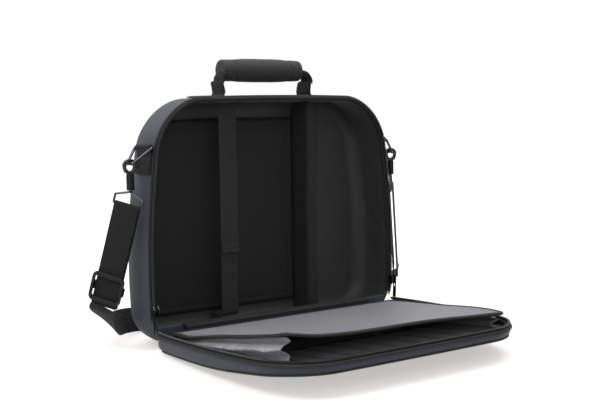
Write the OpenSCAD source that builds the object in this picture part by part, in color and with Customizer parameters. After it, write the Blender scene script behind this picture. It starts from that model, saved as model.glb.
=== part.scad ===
// Laptop hard case: a moulded tray that stands upright and a shallow moulded lid that
// a zip closes round three sides. The lid is drawn opened flat in front of the tray.
// X runs across the case, Y from the lid side to the back, Z up from the floor.

/* [Case] */
// Width of the case at its widest
case_w = 420; // [380:1:460]
// Height of the case when it stands
case_h = 350; // [320:1:390]
// Depth of the tray, from the zip to its back
tray_d = 90; // [80:1:110]
// Depth of the lid at its hinge, which is also the hinge's height above the floor
lid_d = 32; // [30:1:44]
// Height of the lid's inner wall at its top edge, where it is shallowest
lid_room = 1.5; // [1.5:0.5:8]
// Slope at which the open lid rests on its domed face, and the height of that dome
lid_rest = 3.1; // [2:0.1:3.5]
// Height of the pocket panel's dome
dome_h = 8; // [6:0.25:8]
// Thickness of the pocket panel on the lid's face
panel_t = 3; // [2:0.25:4]
// Thickness of the moulded walls
wall = 4.5; // [3:0.5:6]
// Thickness of the lining
lining_t = 1.5; // [1:0.25:2.5]

/* [Outline] */
// Radius of the top corners
top_r = 70; // [50:1:85]
// Radius of the bottom corners
bottom_r = 50; // [40:1:60]
// Radius of the moulded edge at the back of the tray
back_r = 26; // [16:1:32]
// Radius of the moulded edge round the lid's face
lid_r = 7; // [4:0.5:9]
// How far the side walls swell between zip and back
belly = 7; // [0:0.5:10]
// Height at which the case is widest
belly_h = 105; // [90:1:130]
// How much narrower the sides are drawn towards the top
shoulder = 0.25; // [0.1:0.01:0.35]
// Rise of the top edge at its middle
crown = 3; // [0:0.5:6]

/* [Zip] */
// Distance from the zip's middle to the bound edge of each half
zip_reach = 6; // [5.5:0.25:8]
// Width of the bound edge
binding_w = 4.5; // [3:0.25:6]
// Half of the space between the two rows of teeth when the lid is shut
zip_part = 1.6; // [1.4:0.1:2]
// Thickness of the zip tape
tape_t = 1.2; // [0.8:0.1:1.6]
// Length of the zip slider
slider_l = 15; // [12:0.5:18]

/* [Bays] */
// Distance of the divider from the middle of the case
divider_x = 82; // [60:1:100]
// Thickness of the padded divider
divider_t = 22; // [14:1:28]
// How far the divider stands back from the zip
divider_back = 34; // [28:1:44]
// Thickness of the foam pad behind the main bay
pad_t = 8; // [4:0.5:12]
// Width of the retaining strap
strap_w = 29; // [20:1:40]
// Distance of the retaining strap from the middle of the case
strap_x = -66; // [-90:1:-40]
// Thickness of the retaining strap
strap_t = 2.5; // [1.5:0.25:3.5]
// How far the retaining strap stands back from the zip
strap_back = 42; // [34:1:50]
// Height at which the upper retaining strap ends
strap_end_h = 122; // [100:1:160]

/* [File pocket] */
// Distance from the lid's hinge to the free edge of the flap
flap_l = 280; // [240:1:284]
// Thickness of the flap
flap_t = 2.5; // [1.5:0.25:4]
// Gap between the flap and the lid's lining at the sides
flap_gap = 13; // [10:0.5:18]
// Angle at which the flap rests above the lid's edge
flap_rest = 3.9; // [2.5:0.1:5]

/* [Handle] */
// Height of the grip's middle above the top of the case
handle_h = 39; // [34:1:48]
// Length of the padded grip
grip_l = 136; // [120:1:152]
// Diameter of the padded grip at its middle
grip_d = 35; // [30:1:38]
// Distance of the handle from the zip
handle_y = 50; // [42:1:54]

/* [Shoulder strap] */
// Width of the webbing
webbing_w = 38; // [30:1:40]
// Thickness of the webbing
webbing_t = 1.6; // [1.2:0.1:2]
// Length of webbing from the wire loop to the slider's middle
run_l = 118; // [90:1:126]
// Distance of the ring's bar below the top of the case
anchor_drop = 68; // [60:1:80]
// Distance of the ring's bar from the zip, at its middle
anchor_y = 30; // [30:1:36]
// Diameter of the ring's wire
ring_d = 4; // [3:0.25:4.5]
// Length of the ring from its bar to its narrow end
ring_l = 32; // [30:0.5:38]
// Angle at which the ring stands out from the wall
ring_swing = 46; // [40:1:60]
// Angle by which the webbing's face is turned towards the front
strap_turn = 42; // [0:1:50]
// Angle by which the webbing leans towards the back
strap_lean = 15; // [5:1:18]

/* [Hidden] */

$fn = 48;
// Small distance by which a cut runs past the face it cuts
past = 0.1;
// Distance left between a piece and what it is glued or sewn to on a curved wall
seat = 0.1;
// Points along the bottom and top edges, each side and each corner of the outline
edge_n = 6;
side_n = 8;
corner_n = 7;
ring_n = 2*edge_n + 2*side_n + 4*corner_n;
// Steps round a moulded edge, and along a wall
round_n = 4;
wall_n = 4;

half_w = case_w/2;
// The tray's base is centred on the origin, and the zip's plane stands in front of it
seam_y = -tray_d/2;
mouth_y = zip_reach + binding_w;
// Fabric of the hinge, and the heights of its axis and of the sill that carries it
leaf_t = 1.6;
axis_h = lid_d;
hinge_h = axis_h - leaf_t/2;
panel_in = 4;
lid_top_d = mouth_y + panel_t + wall + lining_t + lid_room;

// ---------- outline of the case, as points in the plane of the zip ----------

function arc_points(c, r, from, to, n) =
    [for (i = [0:n - 1]) c + r*[cos(from + (to - from)*i/n), sin(from + (to - from)*i/n)]];
function run_points(p, q, n) = [for (i = [0:n - 1]) p + (q - p)*i/n];

// A rectangle with round corners, anticlockwise from its bottom left. The arcs of the
// bottom corners, whose middle is at mid_h, stop where they meet the base at low.
function round_box(w, low, mid_h, top, r_low, r_top) =
    let (from = -asin(min(1, (mid_h - low)/r_low)))
    let (corner = [w - r_low, mid_h], foot = corner.x + r_low*cos(from))
    concat(
        run_points([-foot, low], [foot, low], edge_n),
        arc_points(corner, r_low, from, 0, corner_n),
        run_points([w, mid_h], [w, top - r_top], side_n),
        arc_points([w - r_top, top - r_top], r_top, 0, 90, corner_n),
        run_points([w - r_top, top], [-(w - r_top), top], edge_n),
        arc_points([-(w - r_top), top - r_top], r_top, 90, 180, corner_n),
        run_points([-w, top - r_top], [-w, mid_h], side_n),
        arc_points([-corner.x, mid_h], r_low, 180, 180 - from, corner_n));

// Share of the full width that is left at a height
function taper(z) = 1 - shoulder*pow((z - belly_h)/case_h, 2);
function shaped(p) =
    [p.x*taper(p.y), p.y + crown*(1 - pow(p.x/half_w, 2))*p.y/case_h];
// The outline of the case grown by e, cut off flat at the height low
function outline(e, low) =
    [for (p = round_box(half_w + e, low, bottom_r, case_h - crown + e,
                        bottom_r + min(0, e), top_r + e)) shaped(p)];
function tray_outline(e) = outline(e, max(0, -e));
function lid_outline(e) = outline(e, hinge_h - e);
// Half width of the outline on its straight sides, and the radius of their long curve
function side_x(e, z) = (half_w + e)*taper(z);
function side_r(e) = case_h*case_h/(2*shoulder*(half_w + e));
// Angle at which the side leans at a height
function side_tilt(e, z) = atan(2*shoulder*(half_w + e)*(z - belly_h)/(case_h*case_h));

// How far the tray's wall swells at a depth and height
function swell(d, z) =
    let (depth = sin(180*(d - mouth_y)/(tray_d - mouth_y)))
    let (rise = z < belly_h ? 1 : 1 - pow((z - belly_h)/(case_h - belly_h), 2))
    belly*max(0, depth)*max(0, rise);
function tray_ring(e, d) =
    [for (p = tray_outline(e)) [p.x*(1 + swell(d, p.y)/half_w), d, p.y]];

// Depth of the lid's edge at a height: full near the hinge, less towards the top. The
// domed pocket panel stands out further and carries the lid on the floor.
dome_v = 150;
dome_r = dome_v - panel_in - 5;
dome_gap = 0.1;
edge_d = lid_d - dome_h + dome_v*tan(lid_rest) - dome_gap
    - pow(dome_r*tan(lid_rest), 2)/(4*dome_h);
taper_from = axis_h + 130;
function ease(t) = let (s = min(1, max(0, t))) s*s*(3 - 2*s);
function lid_depth(z) =
    edge_d - (edge_d - lid_top_d)*ease((z - taper_from)/(case_h - taper_from));

// ---------- solids from rings of points ----------

function flat(lists) = [for (l = lists, x = l) x];
function reversed(list) = [for (i = [len(list) - 1:-1:0]) list[i]];
function unit(v) = v/norm(v);

// Faces between ring a and ring b of n points each. Back to back, two bands need
// opposite diagonals, which turned gives.
function band(a, b, n, turned = false) =
    [for (i = [0:n - 1], k = [0, 1]) let (j = (i + 1) % n)
        turned ? (k == 0 ? [a*n + i, b*n + i, a*n + j] : [b*n + i, b*n + j, a*n + j])
               : (k == 0 ? [a*n + i, b*n + i, b*n + j] : [a*n + i, b*n + j, a*n + j])];
// Rows of faces across the outline, each level from left to right
ladder_n = 2*corner_n + side_n;
function ladder(first, flip) =
    let (faces = concat(
        [for (i = [1:edge_n - 1]) [0, i, i + 1]],
        [for (k = [0:ladder_n - 1], h = [0, 1])
            let (l0 = (ring_n - k) % ring_n, l1 = ring_n - k - 1)
            let (r0 = edge_n + k, r1 = edge_n + k + 1)
            h == 0 ? [l0, r0, r1] : [l0, r1, l1]],
        [for (i = [0:edge_n - 2]) let (t = edge_n + ladder_n)
            [t + edge_n, t + i, t + i + 1]]))
    [for (f = faces) flip ? [first + f[2], first + f[1], first + f[0]]
                          : [first + f[0], first + f[1], first + f[2]]];

// A closed solid through outline rings that follow each other towards the lid
module loft(rings, turned = false) {
    last = len(rings) - 1;
    polyhedron(flat(rings), concat(
        ladder(0, false),
        [for (k = [0:last - 1]) each band(k, k + 1, ring_n, turned)],
        ladder(last*ring_n, true)));
}
// A closed solid through rings of any one size, with flat ends
module tube(rings) {
    n = len(rings[0]);
    last = len(rings) - 1;
    polyhedron(flat(rings), concat(
        [[for (i = [0:n - 1]) i]],
        [for (k = [0:last - 1]) each band(k, k + 1, n)],
        [[for (i = [n - 1:-1:0]) last*n + i]]));
}

// Outward direction of a path in the zip's plane at its point i
function outward(path, i) =
    let (a = path[max(0, i - 1)], b = path[min(len(path) - 1, i + 1)])
    let (d = unit(b - a)) [d.y, -d.x];
// A bead along a path. Its section's points are [outward, depth], and on the lid's
// face the depth is measured from that face.
module bead(path, section, on_face = false) {
    tube([for (i = [0:len(path) - 1])
        let (o = outward(path, i), face = on_face ? lid_depth(path[i].y) : 0)
        [for (s = reversed(section)) [path[i].x + o.x*s.x, s.y - face, path[i].y + o.y*s.x]]]);
}
// Points of an outline in order, from its bottom right over the top to its bottom left
function over_top(ring) = [for (i = [edge_n:ring_n]) ring[i % ring_n]];
function above(path, z) = [for (p = path) if (p.y > z) p];

// Puts what is drawn against the zip's plane in its place
module at_seam() { translate([0, seam_y, 0]) children(); }
// Lifts what is drawn level in front of the hinge to the slope at which the lid rests
module sloped() {
    at_seam() translate([0, 0, axis_h]) rotate([-lid_rest, 0, 0]) translate([0, 0, -axis_h])
        children();
}
// Turns what is drawn on the shut lid down to that slope
module opened() {
    sloped() translate([0, 0, axis_h]) rotate([90, 0, 0]) translate([0, 0, -axis_h])
        children();
}
// Draws what belongs on the right, or its mirror image on the left
module on_side(left) { mirror([left ? 1 : 0, 0, 0]) children(); }

// ---------- the tray ----------

// Moulded edge at the back and wall up to d_end, as [growth, depth], t inside the case
function tray_profile(t, d_end) =
    let (r = back_r - t, d_start = tray_d - back_r)
    concat([for (k = [0:round_n]) let (a = 90*k/round_n)
               [-t - r*(1 - sin(a)), tray_d - t - r*(1 - cos(a))]],
           [for (k = [1:wall_n]) [-t, d_start + (d_end - d_start)*k/wall_n]]);
function tray_rings(t, d_end) = [for (s = tray_profile(t, d_end)) tray_ring(s[0], s[1])];

// The edge of the opening: it follows the wall, and runs straight along the sill
function opening_ring(d) =
    [for (p = tray_ring(-wall, d)) [p.x, p.y, max(p.z, hinge_h)]];
sill_inner = mouth_y + wall;
lining_front = sill_inner + 0.5;
lined = wall + lining_t;

module tray_shell() {
    color("#3b3d45") at_seam() loft(concat(
        tray_rings(0, mouth_y),
        [opening_ring(mouth_y), opening_ring(sill_inner)],
    reversed(tray_rings(wall, lining_front))));
}
module tray_lining() {
    color("#17171b") at_seam() loft(concat(
        tray_rings(wall, lining_front), reversed(tray_rings(lined, lining_front))), true);
}

// The bound edges and the two halves of the zip follow the wall from the hinge's ends
binding_swell = 2;
function binding_section(a, b) = let (m = (a + b)/2)
    [[0.5, b], [binding_swell, m], [0.5, a],
     [-wall - 0.5, a], [-wall - binding_swell, m], [-wall - 0.5, b]];
function rim_path(e) = above(over_top(tray_outline(e)), axis_h + leaf_t);
// The tape runs down the middle of the wall's edge and ends in the row of teeth
tape_in = wall/2;
tooth_w = 4.4;
tooth_l = 2.2;
function zip_section(flip) = let (k = flip ? -1 : 1, in = zip_part, mid = zip_part + tooth_l)
    [for (p = [[tape_t/2, zip_reach], [tape_t/2, mid], [tooth_w/2, mid], [tooth_w/2, in],
               [-tooth_w/2, in], [-tooth_w/2, mid], [-tape_t/2, mid], [-tape_t/2, zip_reach]])
        [p.x*k, p.y*k]];
module tray_binding() {
    color("#2a2630") at_seam() bead(rim_path(0), binding_section(zip_reach, mouth_y));
}
module tray_zip() {
    color("#1c1c20") at_seam() bead(rim_path(-tape_in), zip_section(false));
}

// Fabric hinge: the tray's leaf lies on the sill and ends in the fold
leaf_w = 2*(half_w - bottom_r);
fold_gap = 0.5;
module hinge_leaf_tray() {
    color("#222228") at_seam() translate([-leaf_w/2, 0, axis_h]) {
        rotate([0, 90, 0]) cylinder(d = leaf_t, h = leaf_w);
        translate([0, 0, -leaf_t/2]) cube([leaf_w, sill_inner, leaf_t]);
    }
}
module hinge_leaf_lid() {
    start = leaf_t/2 + fold_gap;
    color("#222228") opened() translate([-leaf_w/2, -mouth_y, hinge_h])
        cube([leaf_w, mouth_y - start, leaf_t]);
}

// Foam pad on the back of the main bay
pad_front = tray_d - lined - pad_t;
module back_pad() {
    color("#1b1b20") at_seam() translate([0, pad_front + pad_t, 0]) rotate([90, 0, 0])
        linear_extrude(pad_t) intersection() {
            polygon(tray_outline(-back_r - 4));
            translate([-half_w, 0])
                square([half_w + divider_x - divider_t/2 - seat, case_h]);
        }
}

// Padded wall between the two bays, with a round front edge
module bay_divider() {
    low = lined + 0.5;
    end = tray_d - low;
    r = divider_t/2;
    color("#1d1d22") at_seam() intersection() {
        translate([divider_x, 0, 0]) linear_extrude(case_h) {
            translate([-r, divider_back + r]) square([divider_t, end - divider_back - r]);
            translate([0, divider_back + r]) circle(r);
        }
        translate([0, tray_d, 0]) rotate([90, 0, 0]) linear_extrude(tray_d)
            polygon(tray_outline(-low));
        translate([divider_x - divider_t, 0, 0]) rotate([90, 0, 90])
            linear_extrude(2*divider_t) moulded_side(end, low);
    }
}
// Side view of the space inside the tray, with the moulded edge at its back
module moulded_side(depth, low) {
    r = back_r - lined;
    high = top_z(divider_x + divider_t/2) - low;
    translate([0, low]) square([depth - r, high - low]);
    translate([0, low + r]) square([depth, high - low - 2*r]);
    for (z = [low + r, high - r]) translate([depth - r, z]) circle(r);
}

// Retaining strap: the lower part comes off the back of the bay and turns up
strap_low = back_r;
strap_bend = 6;
module strap_lower() {
    reach = pad_front - strap_back;
    color("#141416") at_seam() translate([strap_x - strap_w/2, pad_front, strap_low])
        rotate([90, 0, 90]) linear_extrude(strap_w) mirror([1, 0]) {
            square([reach - strap_bend, strap_t]);
            translate([reach - strap_bend, strap_bend]) difference() {
                intersection() {
                    circle(strap_bend);
                    translate([0, -strap_bend]) square(strap_bend);
                }
                circle(strap_bend - strap_t);
            }
            translate([reach - strap_t, strap_bend])
                square([strap_t, strap_overlap + strap_end_h - strap_low - strap_bend]);
        }
}
// The upper part is sewn to the top of the bay at its own fold, lies on the lower one
// and ends in a turned-up tab
strap_overlap = 60;
peel_y = strap_back - seat - strap_t/2;
peel_z = case_h - lined - 14;
module strap_upper() {
    tab = 14;
    color("#18181b") at_seam() translate([strap_x - strap_w/2, peel_y, 0]) {
        translate([0, -strap_t/2, strap_end_h]) cube([strap_w, strap_t, peel_z - strap_end_h]);
        translate([0, 0, peel_z]) rotate([0, 90, 0]) cylinder(d = strap_t, h = strap_w);
        translate([0, -1.5*strap_t, strap_end_h]) cube([strap_w, strap_t + past, tab]);
    }
}

// ---------- the lid ----------

// Rings of the lid's wall: grown by -in at the sides and off the face by off
lid_edge_r = min(lid_r, lid_top_d - panel_t - mouth_y - 1);
function lid_rings(in, off) =
    let (r = max(0.5, min(lid_edge_r - in, lid_top_d - off - mouth_y - 1)))
    [for (k = [0:round_n]) let (a = 90*k/round_n)
        [for (p = lid_outline(-in - r*(1 - sin(a))))
            [p.x, -(lid_depth(p.y) - off - r*(1 - cos(a))), p.y]]];
function lid_rim(e, d) = [for (p = lid_outline(e)) [p.x, -d, p.y]];
module lid_shell() {
    color("#3b3f47") opened() loft(concat(
        lid_rings(wall, panel_t + wall),
        [lid_rim(-wall, mouth_y), lid_rim(0, mouth_y)],
        reversed(lid_rings(0, panel_t))));
}
module lid_lining() {
    off = panel_t + wall;
    edge = mouth_y + 0.2;
    color("#151518") opened() loft(concat(
        lid_rings(lined, off + lining_t),
        [lid_rim(-lined, edge), lid_rim(-wall, edge)],
        reversed(lid_rings(wall, off))));
}
module lid_binding() {
    color("#2a2630") opened() bead(rim_path(0), binding_section(-mouth_y, -zip_reach));
}
module lid_zip() {
    color("#1c1c20") opened() bead(rim_path(-tape_in), zip_section(true));
}

// Flat pocket on the lid's face: its panel stands proud, and its own zip runs in the slot
// from half way up one side, over the top and down the other
panel_lip = [2.2, 1];
function panel_ring(in, off) =
    [for (p = lid_outline(-in)) [p.x, -(lid_depth(p.y) - off*panel_t/3), p.y]];
// Ring of the panel's dome: its edge scaled by k towards the dome's middle
function dome_ring(k) =
    [for (p = panel_ring(panel_in + 5, 0))
        let (z = axis_h + dome_v + (p.z - axis_h - dome_v)*k)
        [p.x*k, -(lid_depth(z) + dome_h*(1 - k*k)), z]];
module front_pocket_panel() {
    color("#33353c") opened() loft([
        panel_ring(lid_edge_r, 3), panel_ring(panel_in + 1, 2.6),
        panel_ring(panel_in, panel_lip[0]), panel_ring(panel_in, panel_lip[1]),
        panel_ring(panel_in + 1.5, 0.25), panel_ring(panel_in + 5, 0),
        for (k = [0.9, 0.75, 0.58, 0.42, 0.26, 0.1]) dome_ring(k)]);
}
pocket_zip_h = axis_h + 178;
pocket_zip_w = 1.4;
module front_pocket_zip() {
    path = above(over_top(lid_outline(-panel_in)), pocket_zip_h);
    a = panel_lip[0]*panel_t/3;
    b = panel_lip[1]*panel_t/3;
    color("#1c1c20") opened() bead(path,
        [[pocket_zip_w, a], [pocket_zip_w, b], [0, b], [0, a]], true);
}

// Pleated pocket on the lid's inner face
pleat_n = 8;
pleat_from = 175;
pleat_to = 285;
pleat_w = 2*(half_w - top_r);
// Height of the lid's lined floor above the ground, at a distance v from the hinge
function floor_z(v) = axis_h - lid_depth(axis_h + v) + panel_t + wall + lining_t;
function pleat_profile(t) = let (vs = [for (i = [0:8]) pleat_from + (pleat_to - pleat_from)*i/8])
    concat([for (v = vs) [-v, floor_z(v) + seat]], [for (v = reversed(vs)) [-v, floor_z(v) + t]]);
module pleated_pocket() {
    step = pleat_w/pleat_n;
    color("#1f1f24") sloped() {
        translate([-pleat_w/2, 0, 0]) rotate([90, 0, 90]) linear_extrude(pleat_w)
            polygon(pleat_profile(1.4));
        for (i = [0:pleat_n - 1]) translate([(i + 0.5)*step - pleat_w/2 - step/4, 0, 0])
            rotate([90, 0, 90]) linear_extrude(step/2) polygon(pleat_profile(2.4));
        translate([-pleat_w/2, -pleat_from, floor_z(pleat_from) + 1.6]) rotate([0, 90, 0])
            cylinder(d = 3, h = pleat_w);
    }
}

// File flap, hinged near the lid's own hinge by a strip of fabric
flap_v = 12;
flap_z = axis_h - 6;
flap_corner = 14;
flap_square = flap_l - 24;
flap_front = flap_l - 8;
function flap_x(e, s) = side_x(e - lined - flap_gap, axis_h + flap_v + s);
// Half of the flap's outline, from its hinge to the middle of its free edge
function flap_half(e) =
    let (w = flap_x(e, flap_square), r = flap_corner + e)
    let (end = [w - r + r*cos(75), flap_front + e - r + r*sin(75)])
    concat([for (i = [0:6]) let (s = (flap_front - flap_corner)*i/6) [flap_x(e, s), s]],
        [for (a = [15:15:75]) [w - r + r*cos(a), flap_front + e - r + r*sin(a)]],
        [for (i = [1:5]) let (k = 1 - i/6)
            [end.x*k, end.y + (flap_l + e - end.y)*(1 - k*k)]]);
function flap_outline(e) = let (half = flap_half(e))
    concat(half, [[0, flap_l + e]], [for (p = reversed(half)) [-p.x, p.y]]);
module at_flap() {
    sloped() translate([0, -flap_v, flap_z]) rotate([-flap_rest, 0, 0]) children();
}
module flap_sheet(e, t) {
    translate([0, 0, -t/2]) linear_extrude(t) mirror([0, 1]) polygon(flap_outline(e));
}
module file_flap() {
    color("#4a4750") at_flap() {
        flap_sheet(0, flap_t);
        translate([-flap_x(0, 0), 0, 0]) rotate([0, 90, 0])
            cylinder(d = flap_t, h = 2*flap_x(0, 0));
    }
}
flap_hem = 5;
hem_t = flap_t + 1.6;
module flap_binding() {
    color("#232128") at_flap() difference() {
        flap_sheet(1.2, hem_t);
        flap_sheet(0, flap_t);
        translate([0, 0, -hem_t]) linear_extrude(2*hem_t) mirror([0, 1]) intersection() {
            polygon(flap_outline(-flap_hem));
            translate([-half_w, -past]) square([case_w, flap_l]);
        }
        translate([-half_w, -flap_t - 0.4, -hem_t]) cube([case_w, 2*flap_t, 2*hem_t]);
    }
}
module flap_leaf() {
    root = hinge_h + lined - axis_h + seat + crown*(hinge_h + lined)/case_h;
    gap = flap_t/2 + 0.35;
    long = 2*flap_x(0, 0) - 20;
    color("#232128") sloped() translate([-long/2, 0, 0]) rotate([90, 0, 90])
        linear_extrude(long) mirror([1, 0]) polygon([
            [root, axis_h - 20], [root + 1.2, axis_h - 20], [root + 1.2, axis_h - 12],
            [flap_v - 0.5*gap, flap_z - 0.95*gap], [flap_v - gap, flap_z - 0.3*gap],
            [root, axis_h - 11]]);
}

// Side gusset of the file pocket: fabric with one fold inwards, from the lid's floor
// to the flap
gusset_t = 1.2;
gusset_n = 7;
function gusset_ring(s) =
    let (x = flap_x(0, s) - flap_hem - 3, v = flap_v + s*cos(flap_rest))
    let (low = floor_z(v) + 0.6)
    let (high = flap_z + s*sin(flap_rest) - (hem_t/2 + 0.5)/cos(flap_rest))
    let (fold = 3 + 13*s/flap_l, mid = (low + high)/2)
    [[x, -v, low], [x - fold, -v, mid], [x, -v, high],
     [x - gusset_t, -v, high], [x - fold - gusset_t, -v, mid], [x - gusset_t, -v, low]];
module gusset(left) {
    from = 6;
    to = flap_front - flap_corner;
    color("#3a414b") sloped() on_side(left)
        tube([for (i = [0:gusset_n]) gusset_ring(from + (to - from)*i/gusset_n)]);
}

// ---------- zip sliders ----------

// A slider's two plates lie either side of the teeth, and its post between the rows
plate_in = tooth_w/2 + 0.4;
plate_t = 1.4;
plate_out = plate_in + plate_t;
plate_w = 2*zip_reach - 1.6;
post_w = 2*zip_part - 0.8;
slider_z = bottom_r + slider_l/2 + 1;
bridge_w = 2.4;
bridge_l = 11;
bridge_h = 3.6;
bridge_gap = 2.4;
pin_d = 1.6;
pin_x = plate_out + bridge_gap/2;
pin_z = -2.8;
module at_slider(left) {
    at_seam() on_side(left) translate([side_x(-tape_in, slider_z), 0, slider_z])
        rotate([0, -side_tilt(-tape_in, slider_z), 0]) children();
}
module slider_plate() {
    w = plate_w/2;
    l = slider_l/2;
    rotate([90, 0, 90]) linear_extrude(plate_t) polygon([
        [-w + 2, -l], [w - 2, -l], [w, -l + 3], [w, l - 5], [1.5, l], [-1.5, l],
        [-w, l - 5], [-w, -l + 3]]);
}
module zip_slider(left) {
    color("#55575c") at_slider(left) {
        for (x = [plate_in, -plate_out]) translate([x, 0, 0]) slider_plate();
        translate([-plate_in - past, -post_w/2, -2]) cube([2*(plate_in + past), post_w, 7]);
        translate([plate_out - past, bridge_w/2, 0]) rotate([90, 0, 0])
            linear_extrude(bridge_w) difference() {
                translate([0, -bridge_l/2]) square([bridge_h, bridge_l]);
                translate([-past, -bridge_l/2 + 1.5])
                    square([bridge_gap + past, bridge_l - 3]);
            }
    }
}
pull_l = 30;
module zip_pull(left) {
    t = 1.4;
    w = 3.3;
    slot = bridge_w/2 + 0.4;
    color("#4d4f54") at_slider(left) translate([pin_x, 0, pin_z]) {
        rotate([90, 0, 0]) cylinder(d = pin_d, h = 2*w, center = true);
        translate([-t/2, 0, 0]) rotate([90, 0, 90]) linear_extrude(t) difference() {
            union() {
                translate([-w, -pull_l + w]) square([2*w, pull_l - w]);
                translate([0, -pull_l + w]) circle(w);
            }
            translate([-slot, -9.4]) square([2*slot, 9.4 + past]);
            translate([0, -pull_l + w]) circle(1.2);
        }
    }
}

// ---------- handle ----------

// Height of the case's top edge at a distance from its middle
function top_z(x) = let (h = case_h - crown, p = x/taper(h))
    h + crown*(1 - pow(p/half_w, 2))*h/case_h;
leg_x = grip_l/2 + 4;
leg_t = 4;
patch_t = 2;
patch_x = [leg_x - 14, leg_x, leg_x + 16, leg_x + 32, leg_x + 44];
grip_z = top_z(leg_x) + handle_h;
// The handle tips sideways about the middle of its legs' round ends
tip_z = top_z(leg_x) + patch_t + 0.5 + webbing_w/2;
module handle_anchors() {
    color("#1a1a1d") at_seam() translate([0, handle_y + webbing_w/2, 0])
        for (left = [false, true]) on_side(left) rotate([90, 0, 0]) linear_extrude(webbing_w)
            polygon(concat([for (x = patch_x) [x, top_z(x) + seat]],
                           [for (x = reversed(patch_x)) [x, top_z(x) + patch_t]]));
}
// Outline of a strip of a thickness along a path in a plane
function strip(path, t) = concat(
    [for (i = [0:len(path) - 1]) path[i] + outward(path, i)*t/2],
    [for (i = [len(path) - 1:-1:0]) path[i] - outward(path, i)*t/2]);
module handle_webbing() {
    x = grip_l/2 + 3*seat;
    path = [[x, grip_z], [x + 3, grip_z - 0.4], [x + 5.8, grip_z - 2], [x + 7.6, grip_z - 5],
            [x + 8, grip_z - 9], [x + 7, grip_z - 16], [leg_x + 1.2, tip_z],
            [leg_x, tip_z - webbing_w/2]];
    w = webbing_w/2;
    top = grip_z + leg_t;
    color("#1a1a1d") at_seam() translate([0, handle_y, 0])
        for (left = [false, true]) on_side(left) intersection() {
            translate([0, w, 0]) rotate([90, 0, 0]) linear_extrude(2*w)
                polygon(strip(path, leg_t));
            rotate([90, 0, 90]) linear_extrude(half_w) {
                translate([0, tip_z]) circle(w);
                polygon([[-w, tip_z], [w, tip_z], [w, tip_z + 4], [grip_d*0.36, top],
                         [-grip_d*0.36, top], [-w, tip_z + 4]]);
            }
        }
}
// The padded grip swells towards its middle and is drawn in by a seam near each end
module handle_grip() {
    l = grip_l/2;
    r = grip_d/2;
    end = r - 2;
    half = [[end - 3, l], [end - 1, l - 0.8], [end, l - 3], [end + 0.6, l - 17],
            [end - 0.8, l - 20.5], [end + 0.8, l - 24], [r - 0.4, l - 34], [r, l - 50]];
    color("#2b2b30") at_seam() translate([0, handle_y, grip_z]) rotate([0, 90, 0])
        rotate_extrude() polygon(concat([[0, l]], half,
            [for (p = reversed(half)) [p.x, -p.y]], [[0, -l]]));
}

// ---------- ends of the shoulder strap ----------

// Where the tray's side wall stands at a depth and height, above the bottom corner
function wall_x(d, z) = let (rise = max(0, z - (case_h - crown - top_r)))
    (half_w - top_r + sqrt(top_r*top_r - rise*rise))*taper(z)*(1 + swell(d, z)/half_w);
loop_in = ring_d/2 + 0.4;
loop_out = loop_in + webbing_t;
anchor_h = case_h - anchor_drop;
bar_turn = -atan((wall_x(anchor_y + 1, anchor_h - 18) - wall_x(anchor_y - 1, anchor_h - 18))/2);
bar_at = [wall_x(anchor_y, anchor_h) + 5*seat + loop_out, anchor_y, anchor_h];
module at_bar(left) {
    at_seam() on_side(left) translate(bar_at) rotate([0, 0, bar_turn]) children();
}
module ring_anchor(left) {
    inner = [for (z = [-38, -26, -14, -7, 0, loop_out])
        [wall_x(anchor_y, anchor_h + z) + 2*seat - bar_at.x, z]];
    color("#1a1a1d") at_bar(left) translate([0, webbing_w/2, 0]) rotate([90, 0, 0])
        linear_extrude(webbing_w) difference() {
            polygon(concat(inner, [for (a = [90:-12:-54]) loop_out*[cos(a), sin(a)]],
                           [for (i = [2, 1, 0]) inner[i] + [2.2, 0]]));
            circle(loop_in);
        }
}

// Closed loop of round wire through points in the plane of Y and Z, bent at each of them
module wire(points, d) {
    bend = 0.65*d;
    n = len(points);
    ways = [for (i = [0:n - 1]) unit(points[(i + 1) % n] - points[i])];
    turns = [for (i = [0:n - 1]) acos(ways[i]*ways[(i + n - 1) % n])];
    cuts = [for (t = turns) bend*tan(t/2)];
    into = 0.1*d;
    rotate([90, 0, 90]) for (i = [0:n - 1]) {
        u = ways[(i + n - 1) % n];
        v = ways[i];
        translate(points[i] - cuts[i]*u + bend*[-u.y, u.x]) rotate([0, 0, atan2(-u.x, u.y)])
            rotate_extrude(angle = turns[i]) translate([bend, 0]) circle(d = 1.05*d);
        translate(points[i] + (cuts[i] - into)*v) rotate([0, 90, atan2(v.y, v.x)])
            cylinder(d = d, h = norm(points[(i + 1) % n] - points[i]) - cuts[i]
                                - cuts[(i + 1) % n] + 2*into);
    }
}
ring_b = webbing_w/2 + 1.25*ring_d;
ring_a = 6.5;
module ring(left) {
    color("#9a9ca0") at_bar(left) rotate([0, -ring_swing, 0])
        wire([[ring_b, 0], [-ring_b, 0], [-ring_a, -ring_l], [ring_a, -ring_l]], ring_d);
}

// Snap hook: its eye hangs on the narrow end of the ring, and its barrel holds the swivel
eye_in = 6;
eye_out = 10.5;
eye_w = 6;
eye_z = ring_d/2 + 0.4 - eye_in;
gate_low = -50;
gate_high = 30;
gate_r = (eye_in + eye_out)/2;
gate_at = gate_r*[cos(gate_low), sin(gate_low)];
// The gate's tip and the hook's nose follow circles about the pin, so the gate swings clear
gate_l = norm(eye_in*[cos(gate_high), sin(gate_high)] - gate_at) - 0.1;
cheek_gap = 3.2;
barrel_r = 5.5;
barrel_l = 23;
barrel_top = eye_z - eye_out + 1.5;
swivel_z = barrel_top - barrel_l;
module at_hook(left) {
    at_bar(left) translate([ring_l*sin(ring_swing), 0, -ring_l*cos(ring_swing)]) children();
}
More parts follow.
